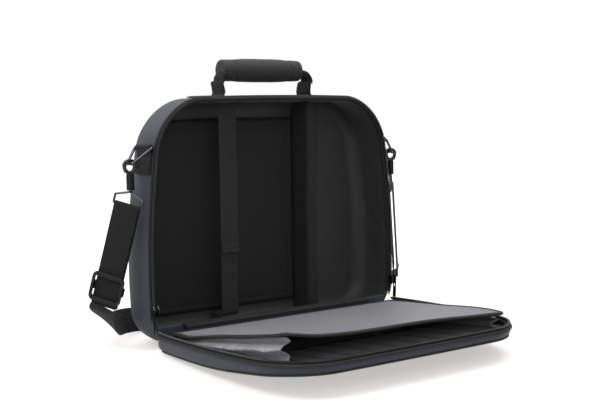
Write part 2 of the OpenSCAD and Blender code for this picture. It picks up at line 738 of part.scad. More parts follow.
// Sector of the eye between two angles and two radii
module sector(r0, r1, a0, a1) {
    polygon(concat([for (i = [0:8]) r1*[cos(a0 + (a1 - a0)*i/8), sin(a0 + (a1 - a0)*i/8)]],
                   [for (i = [8:-1:0]) r0*[cos(a0 + (a1 - a0)*i/8), sin(a0 + (a1 - a0)*i/8)]]));
}
module snap_hook(left) {
    color("#26272a") at_hook(left) {
        translate([0, eye_w/2, eye_z]) rotate([90, 0, 0]) difference() {
            linear_extrude(eye_w) difference() {
                circle(eye_out);
                circle(eye_in);
                intersection() {
                    sector(eye_in - 1, eye_out + 1, gate_low + 17, gate_high + 20);
                    translate(gate_at) circle(gate_l + 0.3);
                }
            }
            translate([gate_at.x, gate_at.y, (eye_w - cheek_gap)/2]) cylinder(r = 3, h = cheek_gap);
            translate([0, 0, (eye_w - cheek_gap)/2]) linear_extrude(cheek_gap)
                sector(eye_in - 1, eye_out + 1, gate_low, gate_low + 24);
        }
        translate([gate_at.x, eye_w/2 - 0.4, eye_z + gate_at.y]) rotate([90, 0, 0])
            cylinder(d = 1.6, h = eye_w - 0.8);
        barrel();
    }
}
module barrel() {
    rib = 2.2;
    translate([0, 0, swivel_z]) difference() {
        union() {
            cylinder(r = barrel_r - 0.6, h = barrel_l);
            for (i = [0:6]) translate([0, 0, i*(rib + 0.8)]) cylinder(r = barrel_r, h = rib);
        }
        translate([0, 0, -past]) cylinder(d = 4.6, h = 4);
        translate([0, 0, 3]) cylinder(d = 8.4, h = 4.6);
    }
}
module hook_gate(left) {
    w = eye_w - 1.4;
    color("#8f9196") at_hook(left) translate([0, 0, eye_z]) rotate([90, 0, 0]) {
        translate([0, 0, -w/2]) linear_extrude(w) intersection() {
            sector(eye_in + 0.3, eye_out - 0.3, gate_low + 21, gate_high + 20);
            translate(gate_at) circle(gate_l);
        }
        translate([0, 0, -1.3]) linear_extrude(2.6) difference() {
            union() {
                translate(gate_at) circle(2.1);
                sector(eye_in + 0.6, eye_out - 0.6, gate_low + 2, gate_low + 22);
            }
            translate(gate_at) circle(1.05);
        }
    }
}

// Wire loop: its headed stem turns in the barrel, and the webbing hangs on its lower bar
wire_d = 3.4;
neck_z = swivel_z - 2.5;
loop_b = webbing_w/2 + 0.65*wire_d;
loop_low = -20;
module at_loop(left) {
    at_hook(left) translate([0, 0, neck_z]) rotate([0, 0, -strap_turn - bar_turn])
        rotate([strap_lean, -2, 0]) children();
}
module wire_loop(left) {
    color("#7d7f84") {
        at_hook(left) {
            translate([0, 0, neck_z - 1.2]) cylinder(d = 5, h = 3);
            translate([0, 0, neck_z]) cylinder(d = 3.8, h = swivel_z - neck_z + 4);
            translate([0, 0, swivel_z + 3.3]) cylinder(d = 7.4, h = 3.2);
        }
        at_loop(left) wire([[0, 0], [-loop_b, -8], [-loop_b, loop_low], [loop_b, loop_low],
                            [loop_b, -8]], wire_d);
    }
}

// Webbing doubled round the lower bar, and the slider on it
layer_x = wire_d/2 + 0.5 + webbing_t/2;
frame_h = 42;
run_end = run_l + frame_h/2 + 5;
module webbing(left) {
    r = layer_x + webbing_t/2;
    color("#16161a") at_loop(left) translate([0, webbing_w/2, loop_low]) rotate([90, 0, 0])
        linear_extrude(webbing_w) {
            for (x = [-layer_x, layer_x]) translate([x - webbing_t/2, -run_end])
                square([webbing_t, run_end]);
            difference() {
                circle(r);
                circle(r - webbing_t);
                translate([-r - past, -2*r]) square([2*(r + past), 2*r]);
            }
        }
}
module round_square(w, h, r) {
    polygon([for (c = [[1, 1, 0], [-1, 1, 90], [-1, -1, 180], [1, -1, 270]], a = [0:15:90])
        [c.x*(w/2 - r) + r*cos(c.z + a), c.y*(h/2 - r) + r*sin(c.z + a)]]);
}
module strap_slider() {
    front = layer_x + webbing_t/2 + 0.4;
    side_w = 3.6;
    inner = webbing_w + 2.4;
    t = 3.4;
    color("#222226") at_loop(true) translate([0, 0, loop_low - run_l]) {
        translate([front, 0, 0]) rotate([90, 0, 90]) linear_extrude(t) difference() {
            round_square(inner + 2*side_w, frame_h, 8);
            round_square(inner, frame_h - 13, 3);
        }
        for (y = [-inner/2 - side_w, inner/2]) translate([-1.8, y, -6])
            cube([front + t, side_w, 12]);
        translate([0, -inner/2 - 1, 0]) rotate([-90, 0, 0]) cylinder(d = 3.2, h = inner + 2);
    }
}

// The rest of the webbing runs down to the floor and round behind the case
function rot_x(v, a) = [v.x, v.y*cos(a) - v.z*sin(a), v.y*sin(a) + v.z*cos(a)];
function rot_y(v, a) = [v.x*cos(a) + v.z*sin(a), v.y, v.z*cos(a) - v.x*sin(a)];
function rot_z(v, a) = [v.x*cos(a) - v.y*sin(a), v.x*sin(a) + v.y*cos(a), v.z];
function in_loop(v) = rot_z(rot_y(rot_x(v, strap_lean), -2), -strap_turn);
loop_at = bar_at + rot_z([ring_l*sin(ring_swing), 0, neck_z - ring_l*cos(ring_swing)], bar_turn);
run_dir = in_loop([0, 0, -1]);
run_w = in_loop([0, 1, 0]);
start = loop_at + in_loop([layer_x, 0, loop_low - run_end - 0.3]);
flat_z = webbing_t/2 + 0.1;
back = tray_d + webbing_w/2 + 8;
// Half of the route, as [point, direction of the width], from the strap's right end
route = [[start, run_w], [start + 16*run_dir, run_w],
         [[start.x + 3, start.y + 12, 24], [0.66, 0.74, 0.16]],
         [[start.x - 10, start.y + 29, 7.5], [0.62, 0.78, 0.04]],
         [[start.x - 34, start.y + 49, flat_z + 0.6], [0.5, 0.86, 0]],
         [[start.x - 68, back, flat_z], [0.2, 0.98, 0]],
         [[half_w*0.6, back + 9, flat_z], [0.05, 1, 0]],
         [[half_w*0.25, back + 12, flat_z], [0, 1, 0]]];
function mirrored(v) = [-v.x, v.y, v.z];
full_route = concat(route, [for (r = reversed(route)) [mirrored(r[0]), mirrored(r[1])]]);
// Point or width between stations i and i + 1 of the route, on a smooth curve
function on_curve(k, i, t) =
    let (n = len(full_route) - 1)
    let (a = full_route[max(0, i - 1)][k], b = full_route[i][k])
    let (c = full_route[i + 1][k], d = full_route[min(n, i + 2)][k])
    b + 0.5*t*((c - a) + t*((2*a - 5*b + 4*c - d) + t*(3*(b - c) + d - a)));
function ribbon_ring(i, t) =
    let (p = on_curve(0, i, t), w = unit(on_curve(1, i, t))*webbing_w/2)
    let (n = unit(cross(on_curve(0, i, t + 0.02) - on_curve(0, i, t - 0.02), w))*webbing_t/2)
    [p + w + n, p - w + n, p - w - n, p + w - n];
module webbing_floor() {
    last = len(full_route) - 2;
    color("#16161a") at_seam() tube(concat(
        [for (i = [0:last], t = [0:0.25:0.75]) ribbon_ring(i, t)], [ribbon_ring(last, 1)]));
}

tray_shell();
tray_lining();
tray_binding();
tray_zip();
hinge_leaf_tray();
back_pad();
bay_divider();
strap_lower();
strap_upper();
lid_shell();
lid_lining();
lid_binding();
lid_zip();
hinge_leaf_lid();
front_pocket_panel();
front_pocket_zip();
pleated_pocket();
flap_leaf();
file_flap();
flap_binding();
gusset(true);  // gusset_left
gusset(false);  // gusset_right
zip_slider(true);  // zip_slider_left
zip_slider(false);  // zip_slider_right
zip_pull(true);  // zip_pull_left
zip_pull(false);  // zip_pull_right
handle_anchors();
handle_webbing();
handle_grip();
ring_anchor(true);  // ring_anchor_left
ring_anchor(false);  // ring_anchor_right
ring(true);  // ring_left
ring(false);  // ring_right
snap_hook(true);  // snap_hook_left
snap_hook(false);  // snap_hook_right
hook_gate(true);  // hook_gate_left
hook_gate(false);  // hook_gate_right
wire_loop(true);  // wire_loop_left
wire_loop(false);  // wire_loop_right
webbing(true);  // webbing_left
webbing(false);  // webbing_right
strap_slider();
webbing_floor();
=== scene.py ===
"""Looks of the laptop hard case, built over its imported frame.

Most shapes repeat the part's own formulas on finer grids. The flap's lift, the handle's
webbing and the webbing behind the case are drawn in their own way here. Sizes are in
millimetres unless a docstring says metres, and points become metres when a mesh is made.
"""

import logging
import math
from collections.abc import Callable
from dataclasses import dataclass
from enum import Enum

import bmesh
import bpy
import numpy as np
from mathutils import Matrix, Vector

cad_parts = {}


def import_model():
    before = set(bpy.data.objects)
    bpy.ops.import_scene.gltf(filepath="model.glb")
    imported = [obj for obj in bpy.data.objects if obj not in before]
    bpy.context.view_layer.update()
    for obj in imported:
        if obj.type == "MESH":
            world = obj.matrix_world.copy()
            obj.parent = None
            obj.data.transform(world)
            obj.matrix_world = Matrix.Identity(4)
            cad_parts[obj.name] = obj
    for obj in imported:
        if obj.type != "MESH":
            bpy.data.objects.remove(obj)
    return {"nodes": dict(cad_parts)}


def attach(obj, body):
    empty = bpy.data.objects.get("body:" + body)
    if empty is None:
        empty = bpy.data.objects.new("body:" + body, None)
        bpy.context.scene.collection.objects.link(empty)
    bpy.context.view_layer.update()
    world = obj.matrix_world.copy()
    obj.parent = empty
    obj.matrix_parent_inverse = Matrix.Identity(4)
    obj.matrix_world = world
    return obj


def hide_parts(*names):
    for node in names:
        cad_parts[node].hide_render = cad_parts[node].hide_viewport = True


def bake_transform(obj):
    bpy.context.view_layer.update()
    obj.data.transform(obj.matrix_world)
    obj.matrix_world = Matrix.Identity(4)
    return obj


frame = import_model()

LOG = logging.getLogger("case")
MM = 0.001
ALONG_X = np.array([1.0, 0, 0])
Array = np.ndarray
Piece = bpy.types.Object
Material = bpy.types.Material


# ---------------------------------------------------------------- sizes


@dataclass(frozen=True)
class CaseSize:
    """Driving sizes of the case, as the part's source states them."""

    width: float = 420.0
    height: float = 350.0
    tray_d: float = 90.0
    lid_d: float = 32.0
    lid_room: float = 1.5
    panel_t: float = 3.0
    wall: float = 4.5
    lining_t: float = 1.5
    top_r: float = 70.0
    bottom_r: float = 50.0
    back_r: float = 26.0
    lid_r: float = 7.0
    belly: float = 7.0
    belly_h: float = 105.0
    shoulder: float = 0.25
    crown: float = 3.0
    zip_reach: float = 6.0
    binding_w: float = 4.5
    zip_part: float = 1.6
    leaf_t: float = 1.6
    lid_rest: float = 3.1
    dome_h: float = 8.0
    dome_v: float = 150.0
    panel_in: float = 4.0

    @property
    def half_w(self) -> float:
        """Half of the width."""
        return self.width / 2

    @property
    def seam_y(self) -> float:
        """Place of the zip's plane along Y."""
        return -self.tray_d / 2

    @property
    def mouth(self) -> float:
        """Depth at which each half's moulded wall starts."""
        return self.zip_reach + self.binding_w

    @property
    def hinge_h(self) -> float:
        """Height of the sill that carries the fabric hinge."""
        return self.lid_d - self.leaf_t / 2

    @property
    def lined(self) -> float:
        """Distance from the outer face of a wall to its lined face."""
        return self.wall + self.lining_t

    @property
    def lid_top_d(self) -> float:
        """Depth of the lid at its top edge."""
        return self.mouth + self.panel_t + self.lined + self.lid_room

    @property
    def edge_d(self) -> float:
        """Depth of the lid's edge near the hinge, so that its dome stands on the floor."""
        slope = math.tan(math.radians(self.lid_rest))
        reach = self.dome_v - self.panel_in - 5
        return self.lid_d - self.dome_h + self.dome_v * slope - 0.1 - (reach * slope) ** 2 / (4 * self.dome_h)


@dataclass(frozen=True)
class StrapSize:
    """Sizes of the shoulder strap's end, as the part's source states them."""

    width: float = 38.0
    thick: float = 1.6
    anchor_h: float = 282.0
    anchor_y: float = 30.0
    ring_d: float = 4.0
    ring_l: float = 32.0
    swing: float = 46.0
    turn: float = 42.0
    lean: float = 15.0
    loop_low: float = -20.0


CASE = CaseSize()
STRAP = StrapSize()


# ---------------------------------------------------------------- small maths


def rot(axis: str, degrees: float) -> Array:
    """Rotation matrix about one axis.

    Args:
        axis: "x", "y" or "z".
        degrees: Angle by the right-hand rule.
    """
    return np.array(Matrix.Rotation(math.radians(degrees), 3, axis.upper()))


def angles(first: float, last: float, count: int) -> Array:
    """Evenly spaced angles, given in degrees and returned in radians."""
    return np.radians(np.linspace(first, last, count))


def smoothstep(t: Array) -> Array:
    """Eases from 0 to 1: 3t squared minus 2t cubed, held outside that range."""
    t = np.clip(t, 0, 1)
    return t * t * (3 - 2 * t)


def lengths(points: Array) -> Array:
    """Distance along a polyline at each of its points."""
    steps = np.linalg.norm(np.diff(points, axis=0), axis=1)
    return np.concatenate([[0.0], np.cumsum(steps)])


def resample(points: Array, count: int) -> Array:
    """The polyline again, with points at equal distances."""
    at = lengths(points)
    want = np.linspace(0, at[-1], count)
    return np.stack([np.interp(want, at, points[:, k]) for k in range(points.shape[1])], 1)


def spline(stations: Array, steps: int) -> Array:
    """Smooth curve through stations.

    Each stretch from b to c, with neighbours a and d, is the Catmull-Rom cubic
    b + t((c - a) + t((2a - 5b + 4c - d) + t(3(b - c) + d - a))) / 2.
    """
    p = np.vstack([stations[:1], stations, stations[-1:]])
    a, b, c, d = (p[i : len(p) - 3 + i, None] for i in range(4))
    t = (np.arange(steps) / steps)[None, :, None]
    cubic = b + 0.5 * t * ((c - a) + t * ((2 * a - 5 * b + 4 * c - d) + t * (3 * (b - c) + d - a)))
    return np.vstack([cubic.reshape(-1, stations.shape[1]), stations[-1:]])


def tangents(points: Array) -> Array:
    """Unit direction of a polyline at each point."""
    step = np.gradient(points, axis=0)
    return step / np.maximum(np.linalg.norm(step, axis=1, keepdims=True), 1e-9)


def level(a: Array, b: Array) -> Array:
    """Points (a, b, 0)."""
    return np.stack([a, b, a * 0], -1)


def direction(place: Callable[[Array], Array], way: Array) -> Array:
    """Where a placing function turns a direction to."""
    way = np.asarray(way, float)
    return place(way) - place(way * 0)


def ripple(p: Array, scale: float, seed: float = 0.0) -> Array:
    """Smooth repeatable unevenness between about -1 and 1.

    It is the mean of three sine products whose wave vectors aren't parallel, so no
    random numbers are needed.
    """
    x, y, z = (p[..., k] / scale + seed * (k + 1.7) for k in range(3))
    return (
        np.sin(2.1 * x + 1.3 * y + 0.4 * z) * np.cos(1.1 * z - 0.7 * x)
        + np.sin(1.7 * y - 2.3 * z + 0.9 * x)
        + np.sin(2.9 * z + 1.9 * x - 1.1 * y) * np.cos(1.6 * y)
    ) / 3


# ---------------------------------------------------------------- outline


class Outline:
    """The outline of the case and the surfaces that follow it."""

    # Points along each flat edge, each long side and each round corner.
    EDGE, SIDE, CORNER = 24, 30, 18

    def __init__(self, size: CaseSize) -> None:
        self.s = size

    def taper(self, z: Array) -> Array:
        """Share of the full width left at height z: 1 - shoulder ((z - belly_h) / h) squared."""
        s = self.s
        return 1 - s.shoulder * ((z - s.belly_h) / s.height) ** 2

    def ring(self, grow: float, low: float) -> Array:
        """The outline grown by a distance and cut off flat at a height, anticlockwise."""
        s = self.s
        w, mid, top = s.half_w + grow, s.bottom_r, s.height - s.crown + grow
        r0, r1 = s.bottom_r + min(0.0, grow), s.top_r + grow
        start = -math.degrees(math.asin(min(1.0, (mid - low) / r0)))
        foot = w - r0 + r0 * math.cos(math.radians(start))

        def arc(cx: float, cz: float, r: float, a: float, b: float) -> Array:
            """Round corner from angle a up to b, in degrees."""
            t = np.radians(np.linspace(a, b, self.CORNER, endpoint=False))
            return np.stack([cx + r * np.cos(t), cz + r * np.sin(t)], 1)

        def run(p: tuple[float, float], q: tuple[float, float], n: int) -> Array:
            """Straight stretch of n points from p, without q."""
            return np.linspace(p, q, n, endpoint=False)

        x, z = np.vstack([
            run((-foot, low), (foot, low), self.EDGE),
            arc(w - r0, mid, r0, start, 0),
            run((w, mid), (w, top - r1), self.SIDE),
            arc(w - r1, top - r1, r1, 0, 90),
            run((w - r1, top), (-(w - r1), top), self.EDGE),
            arc(-(w - r1), top - r1, r1, 90, 180),
            run((-w, top - r1), (-w, mid), self.SIDE),
            arc(-(w - r0), mid, r0, 180, 180 - start),
        ]).T
        return np.stack([x * self.taper(z), z + s.crown * (1 - (x / s.half_w) ** 2) * z / s.height], 1)

    def over_top(self, ring: Array, above: float) -> Array:
        """A ring's points above a height, from the bottom right over the top to the bottom left."""
        path = np.roll(ring, -self.EDGE, axis=0)[: len(ring) - self.EDGE + 1]
        return path[path[:, 1] > above]

    def tray(self, grow: float) -> Array:
        """Outline of the tray grown by a distance."""
        return self.ring(grow, max(0.0, -grow))

    def lid(self, grow: float) -> Array:
        """Outline of the lid grown by a distance."""
        return self.ring(grow, self.s.hinge_h - grow)

    def side_x(self, grow: float, z: Array) -> Array:
        """Half width of the outline on its long sides."""
        return (self.s.half_w + grow) * self.taper(z)

    def swell(self, d: Array, z: Array) -> Array:
        """How far the tray's wall swells at a depth and height."""
        s = self.s
        depth = np.clip(np.sin(np.pi * (d - s.mouth) / (s.tray_d - s.mouth)), 0, None)
        rise = np.where(z < s.belly_h, 1, 1 - ((z - s.belly_h) / (s.height - s.belly_h)) ** 2)
        return s.belly * depth * np.clip(rise, 0, None)

    def tray_ring(self, grow: float, d: float) -> Array:
        """Ring of the tray at a depth, as (x, depth, z)."""
        p = self.tray(grow)
        x = p[:, 0] * (1 + self.swell(np.full(len(p), d), p[:, 1]) / self.s.half_w)
        return np.stack([x, np.full(len(p), d), p[:, 1]], 1)

    def lid_depth(self, z: Array) -> Array:
        """Depth of the lid's face at a height, eased from full to shallow."""
        s = self.s
        start = s.lid_d + 130
        t = smoothstep((z - start) / (s.height - start))
        return s.edge_d - (s.edge_d - s.lid_top_d) * t

    def wall_x(self, d: float, z: Array) -> Array:
        """Where the tray's side wall stands at a depth and height."""
        s = self.s
        rise = np.clip(z - (s.height - s.crown - s.top_r), 0, None)
        x = s.half_w - s.top_r + np.sqrt(s.top_r**2 - rise**2)
        return x * self.taper(z) * (1 + self.swell(np.full_like(z, d), z) / s.half_w)

    def floor_z(self, v: Array) -> Array:
        """Height of the open lid's lined floor before it is sloped, v from the hinge."""
        s = self.s
        return s.lid_d - self.lid_depth(s.lid_d + v) + s.panel_t + s.lined


OUT = Outline(CASE)


def at_seam(points: Array) -> Array:
    """Puts (x, depth, z) in the row frame."""
    return points + np.array([0, CASE.seam_y, 0])


def sloped(points: Array) -> Array:
    """Lifts (x, y, z) drawn level in front of the hinge to the slope of the open lid."""
    a = math.radians(CASE.lid_rest)
    x, y, z = points[..., 0], points[..., 1], points[..., 2] - CASE.lid_d
    along, up = y * math.cos(a) + z * math.sin(a), z * math.cos(a) - y * math.sin(a)
    return np.stack([x, CASE.seam_y + along, CASE.lid_d + up], -1)


def opened(points: Array) -> Array:
    """Turns (x, depth, z) of the shut lid down to that slope."""
    x, y, z = points[..., 0], points[..., 1], points[..., 2]
    return sloped(np.stack([x, CASE.lid_d - z, CASE.lid_d + y], -1))


# ---------------------------------------------------------------- mesh tools


def mesh_object(
    name: str, verts: Array, faces: list, material: Material, uv: Array | None = None, sharp: float = 40.0
) -> Piece:
    """Makes an object from points in millimetres.

    Args:
        name: Name of the piece.
        verts: Points, one row each.
        faces: Corner indices of each face.
        material: Material of the whole piece.
        uv: One texture point per vertex, in millimetres of cloth.
        sharp: Angle above which an edge is shaded sharp, in degrees.

    Returns:
        The new piece, linked to the scene.
    """
    mesh = bpy.data.meshes.new(name)
    mesh.from_pydata((np.asarray(verts, float) * MM).tolist(), [], [list(map(int, f)) for f in faces])
    mesh.validate()
    if uv is not None:
        layer = mesh.uv_layers.new(name="UVMap")
        loops = np.empty(len(mesh.loops), np.int32)
        mesh.loops.foreach_get("vertex_index", loops)
        layer.data.foreach_set("uv", np.asarray(uv, np.float32)[loops].ravel())
    bm = bmesh.new()
    bm.from_mesh(mesh)
    bmesh.ops.recalc_face_normals(bm, faces=bm.faces)
    bm.to_mesh(mesh)
    bm.free()
    mesh.shade_smooth()
    mesh.set_sharp_from_angle(angle=math.radians(sharp))
    mesh.materials.append(material)
    obj = bpy.data.objects.new(name, mesh)
    bpy.context.scene.collection.objects.link(obj)
    return obj


def grid_faces(rows: int, cols: int, wrap: bool = False) -> list:
    """Four-cornered faces of a grid whose point (i, j) has index i times cols plus j.

    Args:
        rows: Number of rows.
        cols: Points in each row.
        wrap: Whether each row closes in a ring.

    Returns:
        Corner indices of each face.
    """
    a, b = np.meshgrid(np.arange(rows - 1), np.arange(cols if wrap else cols - 1), indexing="ij")
    a2, b2 = a + 1, (b + 1) % cols
    quads = np.stack([a * cols + b, a2 * cols + b, a2 * cols + b2, a * cols + b2], -1)
    return quads.reshape(-1, 4).tolist()


def grid_uv(grid: Array) -> Array:
    """Texture points of a grid: distances along its rows and columns, in millimetres."""
    across = np.linalg.norm(np.diff(grid, axis=1), axis=2).mean(0)
    down = np.linalg.norm(np.diff(grid, axis=0), axis=2).mean(1)
    u = np.concatenate([[0.0], np.cumsum(across)])
    v = np.concatenate([[0.0], np.cumsum(down)])
    return np.stack(np.meshgrid(u, v, indexing="xy"), -1).reshape(-1, 2)


def cap_rows(count: int) -> list:
    """Faces that close an outline ring of the case, in rows from left to right."""
    edge, ladder = OUT.EDGE, 2 * OUT.CORNER + OUT.SIDE
    left = [(count - k) % count for k in range(ladder + 1)]
    right = [edge + k for k in range(ladder + 1)]
    faces = [[left[k], right[k], right[k + 1], left[k + 1]] for k in range(ladder)]
    return [*faces, list(range(0, edge + 1)), list(range(right[-1], left[-1] + 1))]


def shell(name: str, rings: Array, material: Material, sharp: float = 40.0) -> Piece:
    """A closed piece through outline rings that follow each other, with both ends filled.

    Args:
        name: Name of the piece.
        rings: Array of rings, ring by ring, in the row frame.
        material: Its material.
        sharp: Angle above which an edge is shaded sharp.
    """
    rows, cols = rings.shape[:2]
    faces = grid_faces(rows, cols, wrap=True)
    last = (rows - 1) * cols
    caps = cap_rows(cols)
    faces += caps + [[last + i for i in f] for f in caps]
    uv = grid_uv(rings)
    for block in (slice(0, cols), slice(last, None)):
        cap = rings.reshape(-1, 3)[block]
        uv[block] = cap[:, np.sort(np.argsort(np.ptp(cap, axis=0))[1:])]
    return mesh_object(name, rings.reshape(-1, 3), faces, material, uv, sharp)


def tube(name: str, grid: Array, material: Material, sharp: float = 50.0) -> Piece:
    """A closed piece through sections of equal point counts, with flat ends.

    Args:
        name: Name of the piece.
        grid: Sections, one per row, in the row frame.
        material: Its material.
        sharp: Angle above which an edge is shaded sharp, in degrees.

    Returns:
        The new piece.
    """
    rows, cols = grid.shape[:2]
    faces = grid_faces(rows, cols, wrap=True)
    faces += [list(range(cols)), [(rows - 1) * cols + i for i in range(cols)]]
    return mesh_object(name, grid.reshape(-1, 3), faces, material, grid_uv(grid), sharp)


def slab(name: str, top: Array, bottom: Array, material: Material, sharp: float = 50.0) -> Piece:
    """A closed sheet between two grids of the same size."""
    rows, cols = top.shape[:2]
    n = rows * cols
    faces = grid_faces(rows, cols)
    under = [[n + i for i in reversed(f)] for f in faces]
    rim = [
        *range(cols),
        *(i * cols + cols - 1 for i in range(1, rows)),
        *((rows - 1) * cols + j for j in range(cols - 2, -1, -1)),
        *(i * cols for i in range(rows - 2, 0, -1)),
    ]
    edge = [[a, b, n + b, n + a] for a, b in zip(rim, rim[1:] + rim[:1])]
    verts = np.vstack([top.reshape(-1, 3), bottom.reshape(-1, 3)])
    uv = np.vstack([grid_uv(top)] * 2)
    return mesh_object(name, verts, faces + under + edge, material, uv, sharp)


def webbing_section(width: float, thick: float) -> Array:
    """Section of woven webbing: flat faces and round edges with a thin selvedge."""
    w, t = width / 2, thick / 2
    a = angles(-90, 90, 5)
    edge = np.stack([w - t * 0.7 + 0.7 * t * np.cos(a), 0.8 * t * np.sin(a)], 1)
    right = np.vstack([[[w - 3.4, -t], [w - 2.8, -0.86 * t], [w - 2.2, -t * 0.97]], edge,
                       [[w - 2.2, t * 0.97], [w - 2.8, 0.86 * t], [w - 3.4, t]]])
    return np.vstack([right, -right])


def ribbon(name: str, path: Array, across: Array, width: float, thick: float, material: Material) -> Piece:
    """Webbing along a path.

    Args:
        name: Name of the piece.
        path: Points of its middle line.
        across: Direction of its width, one for all points or one per point.
        width: Its width.
        thick: Its thickness.
        material: Its material.

    Returns:
        The new piece.
    """
    along = tangents(path)
    across = across - (across * along).sum(1, keepdims=True) * along
    across /= np.linalg.norm(across, axis=1, keepdims=True)
    over, section = np.cross(along, across), webbing_section(width, thick)
    grid = path[:, None] + section[None, :, :1] * across[:, None] + section[None, :, 1:] * over[:, None]
    return tube(name, grid, material)


def stitches(
    name: str, paths: list, normals: list, radius: float, pitch: float = 3.4, share: float = 0.7
) -> Piece:
    """Rows of sewn stitches as one piece.

    Each stitch is a spindle that starts and ends a little inside the cloth: its height
    over the cloth is the radius times the sine of the share of its length covered.

    Args:
        name: Name of the piece.
        paths: Polylines on the cloth.
        normals: Direction away from the cloth for each path, one row or one per point.
        radius: Half of the thread's thickness.
        pitch: Distance from stitch to stitch.
        share: Part of the pitch that shows thread.

    Returns:
        The new piece, with the thread's finish.
    """
    # Each stitch has five rings of six points.
    ring = np.radians(np.arange(6) * 60)
    t = np.linspace(0, 1, 5)
    verts, faces = [], []
    base = grid_faces(5, 6, wrap=True) + [[5, 4, 3, 2, 1, 0], [24, 25, 26, 27, 28, 29]]
    for path, normal in zip(paths, normals):
        path = np.asarray(path, float)
        normal = np.broadcast_to(np.asarray(normal, float), path.shape)
        at = lengths(path)
        count = max(1, int(at[-1] / pitch))
        start = (np.arange(count) + (1 - share) / 2) * at[-1] / count
        s = start[:, None] + t[None] * share * at[-1] / count
        p = np.stack([np.interp(s, at, path[:, k]) for k in range(3)], -1)
        n = np.stack([np.interp(s, at, normal[:, k]) for k in range(3)], -1)
        n /= np.linalg.norm(n, axis=-1, keepdims=True)
        d = p[:, -1] - p[:, 0]
        d /= np.maximum(np.linalg.norm(d, axis=-1, keepdims=True), 1e-9)
        b = np.cross(d[:, None], n)
        rise = radius * (1.5 * np.sin(np.pi * t) - 0.35)[None, :, None]
        fat = radius * (0.55 + 0.45 * np.sin(np.pi * t))[None, :, None, None]
        mid = p + rise * n
        grid = mid[:, :, None] + fat * (
            np.cos(ring)[None, None, :, None] * n[:, :, None]
            + np.sin(ring)[None, None, :, None] * b[:, :, None]
        )
        first = sum(len(v) for v in verts)
        verts.append(grid.reshape(-1, 3))
        faces += [[first + k * 30 + i for i in f] for k in range(count) for f in base]
    return mesh_object(name, np.vstack(verts), faces, LOOKS("thread"), None, 80)


# ---------------------------------------------------------------- finishes


class Weave(Enum):
    """Kinds of surface that a finish can have."""

    SMOOTH = 0
    PLAIN = 1
    TWILL = 2
    RIBBED = 3


@dataclass(frozen=True)
class Finish:
    """Everything that sets one material apart.

    Attributes:
        slot: The record's material slot.
        colour: Base colour, linear.
        rough: Roughness.
        weave: Kind of cloth.
        pitch: Distance from thread to thread, in millimetres.
        depth: Depth of the threads, in millimetres.
        sheen: Weight of the fuzz on cloth.
        metal: Metalness.
        coat: Weight of a clear coat.
        level: Strength of the plain reflection, 0.5 for most things.
        lean: Direction of ribs: 0 across webbing, 1 along it.
        mottle: How far colour and roughness vary from place to place.
        grain: Depth of fine unevenness, in millimetres.
    """

    slot: str
    colour: tuple[float, float, float]
    rough: float
    weave: Weave = Weave.SMOOTH
    pitch: float = 0.8
    depth: float = 0.1
    sheen: float = 0.0
    metal: float = 0.0
    coat: float = 0.0
    level: float = 0.5
    lean: float = 0.2
    mottle: float = 0.15
    grain: float = 0.0


FINISHES = {
    "shell": Finish("case_shell", (0.020, 0.0245, 0.034), 0.5, Weave.PLAIN, 0.9, 0.1, 0.12, level=0.3),
    "panel": Finish("case_shell", (0.026, 0.026, 0.031), 0.52, Weave.PLAIN, 0.9, 0.1, 0.15, level=0.35),
    "lining": Finish("lining", (0.022, 0.022, 0.0235), 0.55, Weave.PLAIN, 0.45, 0.03, 0.1, level=0.35),
    "pad": Finish("lining", (0.009, 0.0095, 0.010), 0.62, Weave.PLAIN, 0.9, 0.09, 0.05, level=0.2),
    "binding": Finish("binding", (0.008, 0.0075, 0.009), 0.5, Weave.RIBBED, 1.1, 0.12, 0.04, level=0.22),
    "tape": Finish("zip", (0.006, 0.006, 0.007), 0.62, Weave.TWILL, 0.7, 0.06, 0.05, level=0.2),
    "teeth": Finish("zip", (0.012, 0.012, 0.014), 0.36, level=0.5, grain=0.01),
    "webbing": Finish("webbing", (0.0065, 0.0067, 0.0064), 0.5, Weave.RIBBED, 2.4, 0.7, 0.03,
                      level=0.14, lean=0.5),
    "webbing_low": Finish("webbing", (0.009, 0.0092, 0.009), 0.5, Weave.RIBBED, 3.6, 0.8, 0.06,
                          level=0.2, lean=0.97),
    "strap": Finish("webbing", (0.009, 0.0095, 0.0095), 0.6, Weave.TWILL, 1.2, 0.12, 0.06, level=0.25),
    "flap": Finish("flap", (0.090, 0.089, 0.107), 0.40, Weave.PLAIN, 0.9, 0.06, 0.2, level=0.6),
    "gusset": Finish("gusset", (0.20, 0.20, 0.215), 0.33, Weave.PLAIN, 1.3, 0.22, 0.25,
                     level=0.6, mottle=0.3),
    "grip": Finish("grip", (0.014, 0.014, 0.016), 0.62, Weave.PLAIN, 0.8, 0.08, 0.12, level=0.25),
    "plastic": Finish("plastic", (0.004, 0.004, 0.0045), 0.36, level=0.2, coat=0.03, grain=0.02),
    "steel": Finish("steel", (0.06, 0.062, 0.068), 0.24, metal=1.0, mottle=0.3, grain=0.004),
    "zip_metal": Finish("zip_metal", (0.05, 0.05, 0.056), 0.3, metal=1.0, mottle=0.3, grain=0.006),
    "thread": Finish("binding", (0.022, 0.021, 0.025), 0.5, sheen=0.2, level=0.4),
}


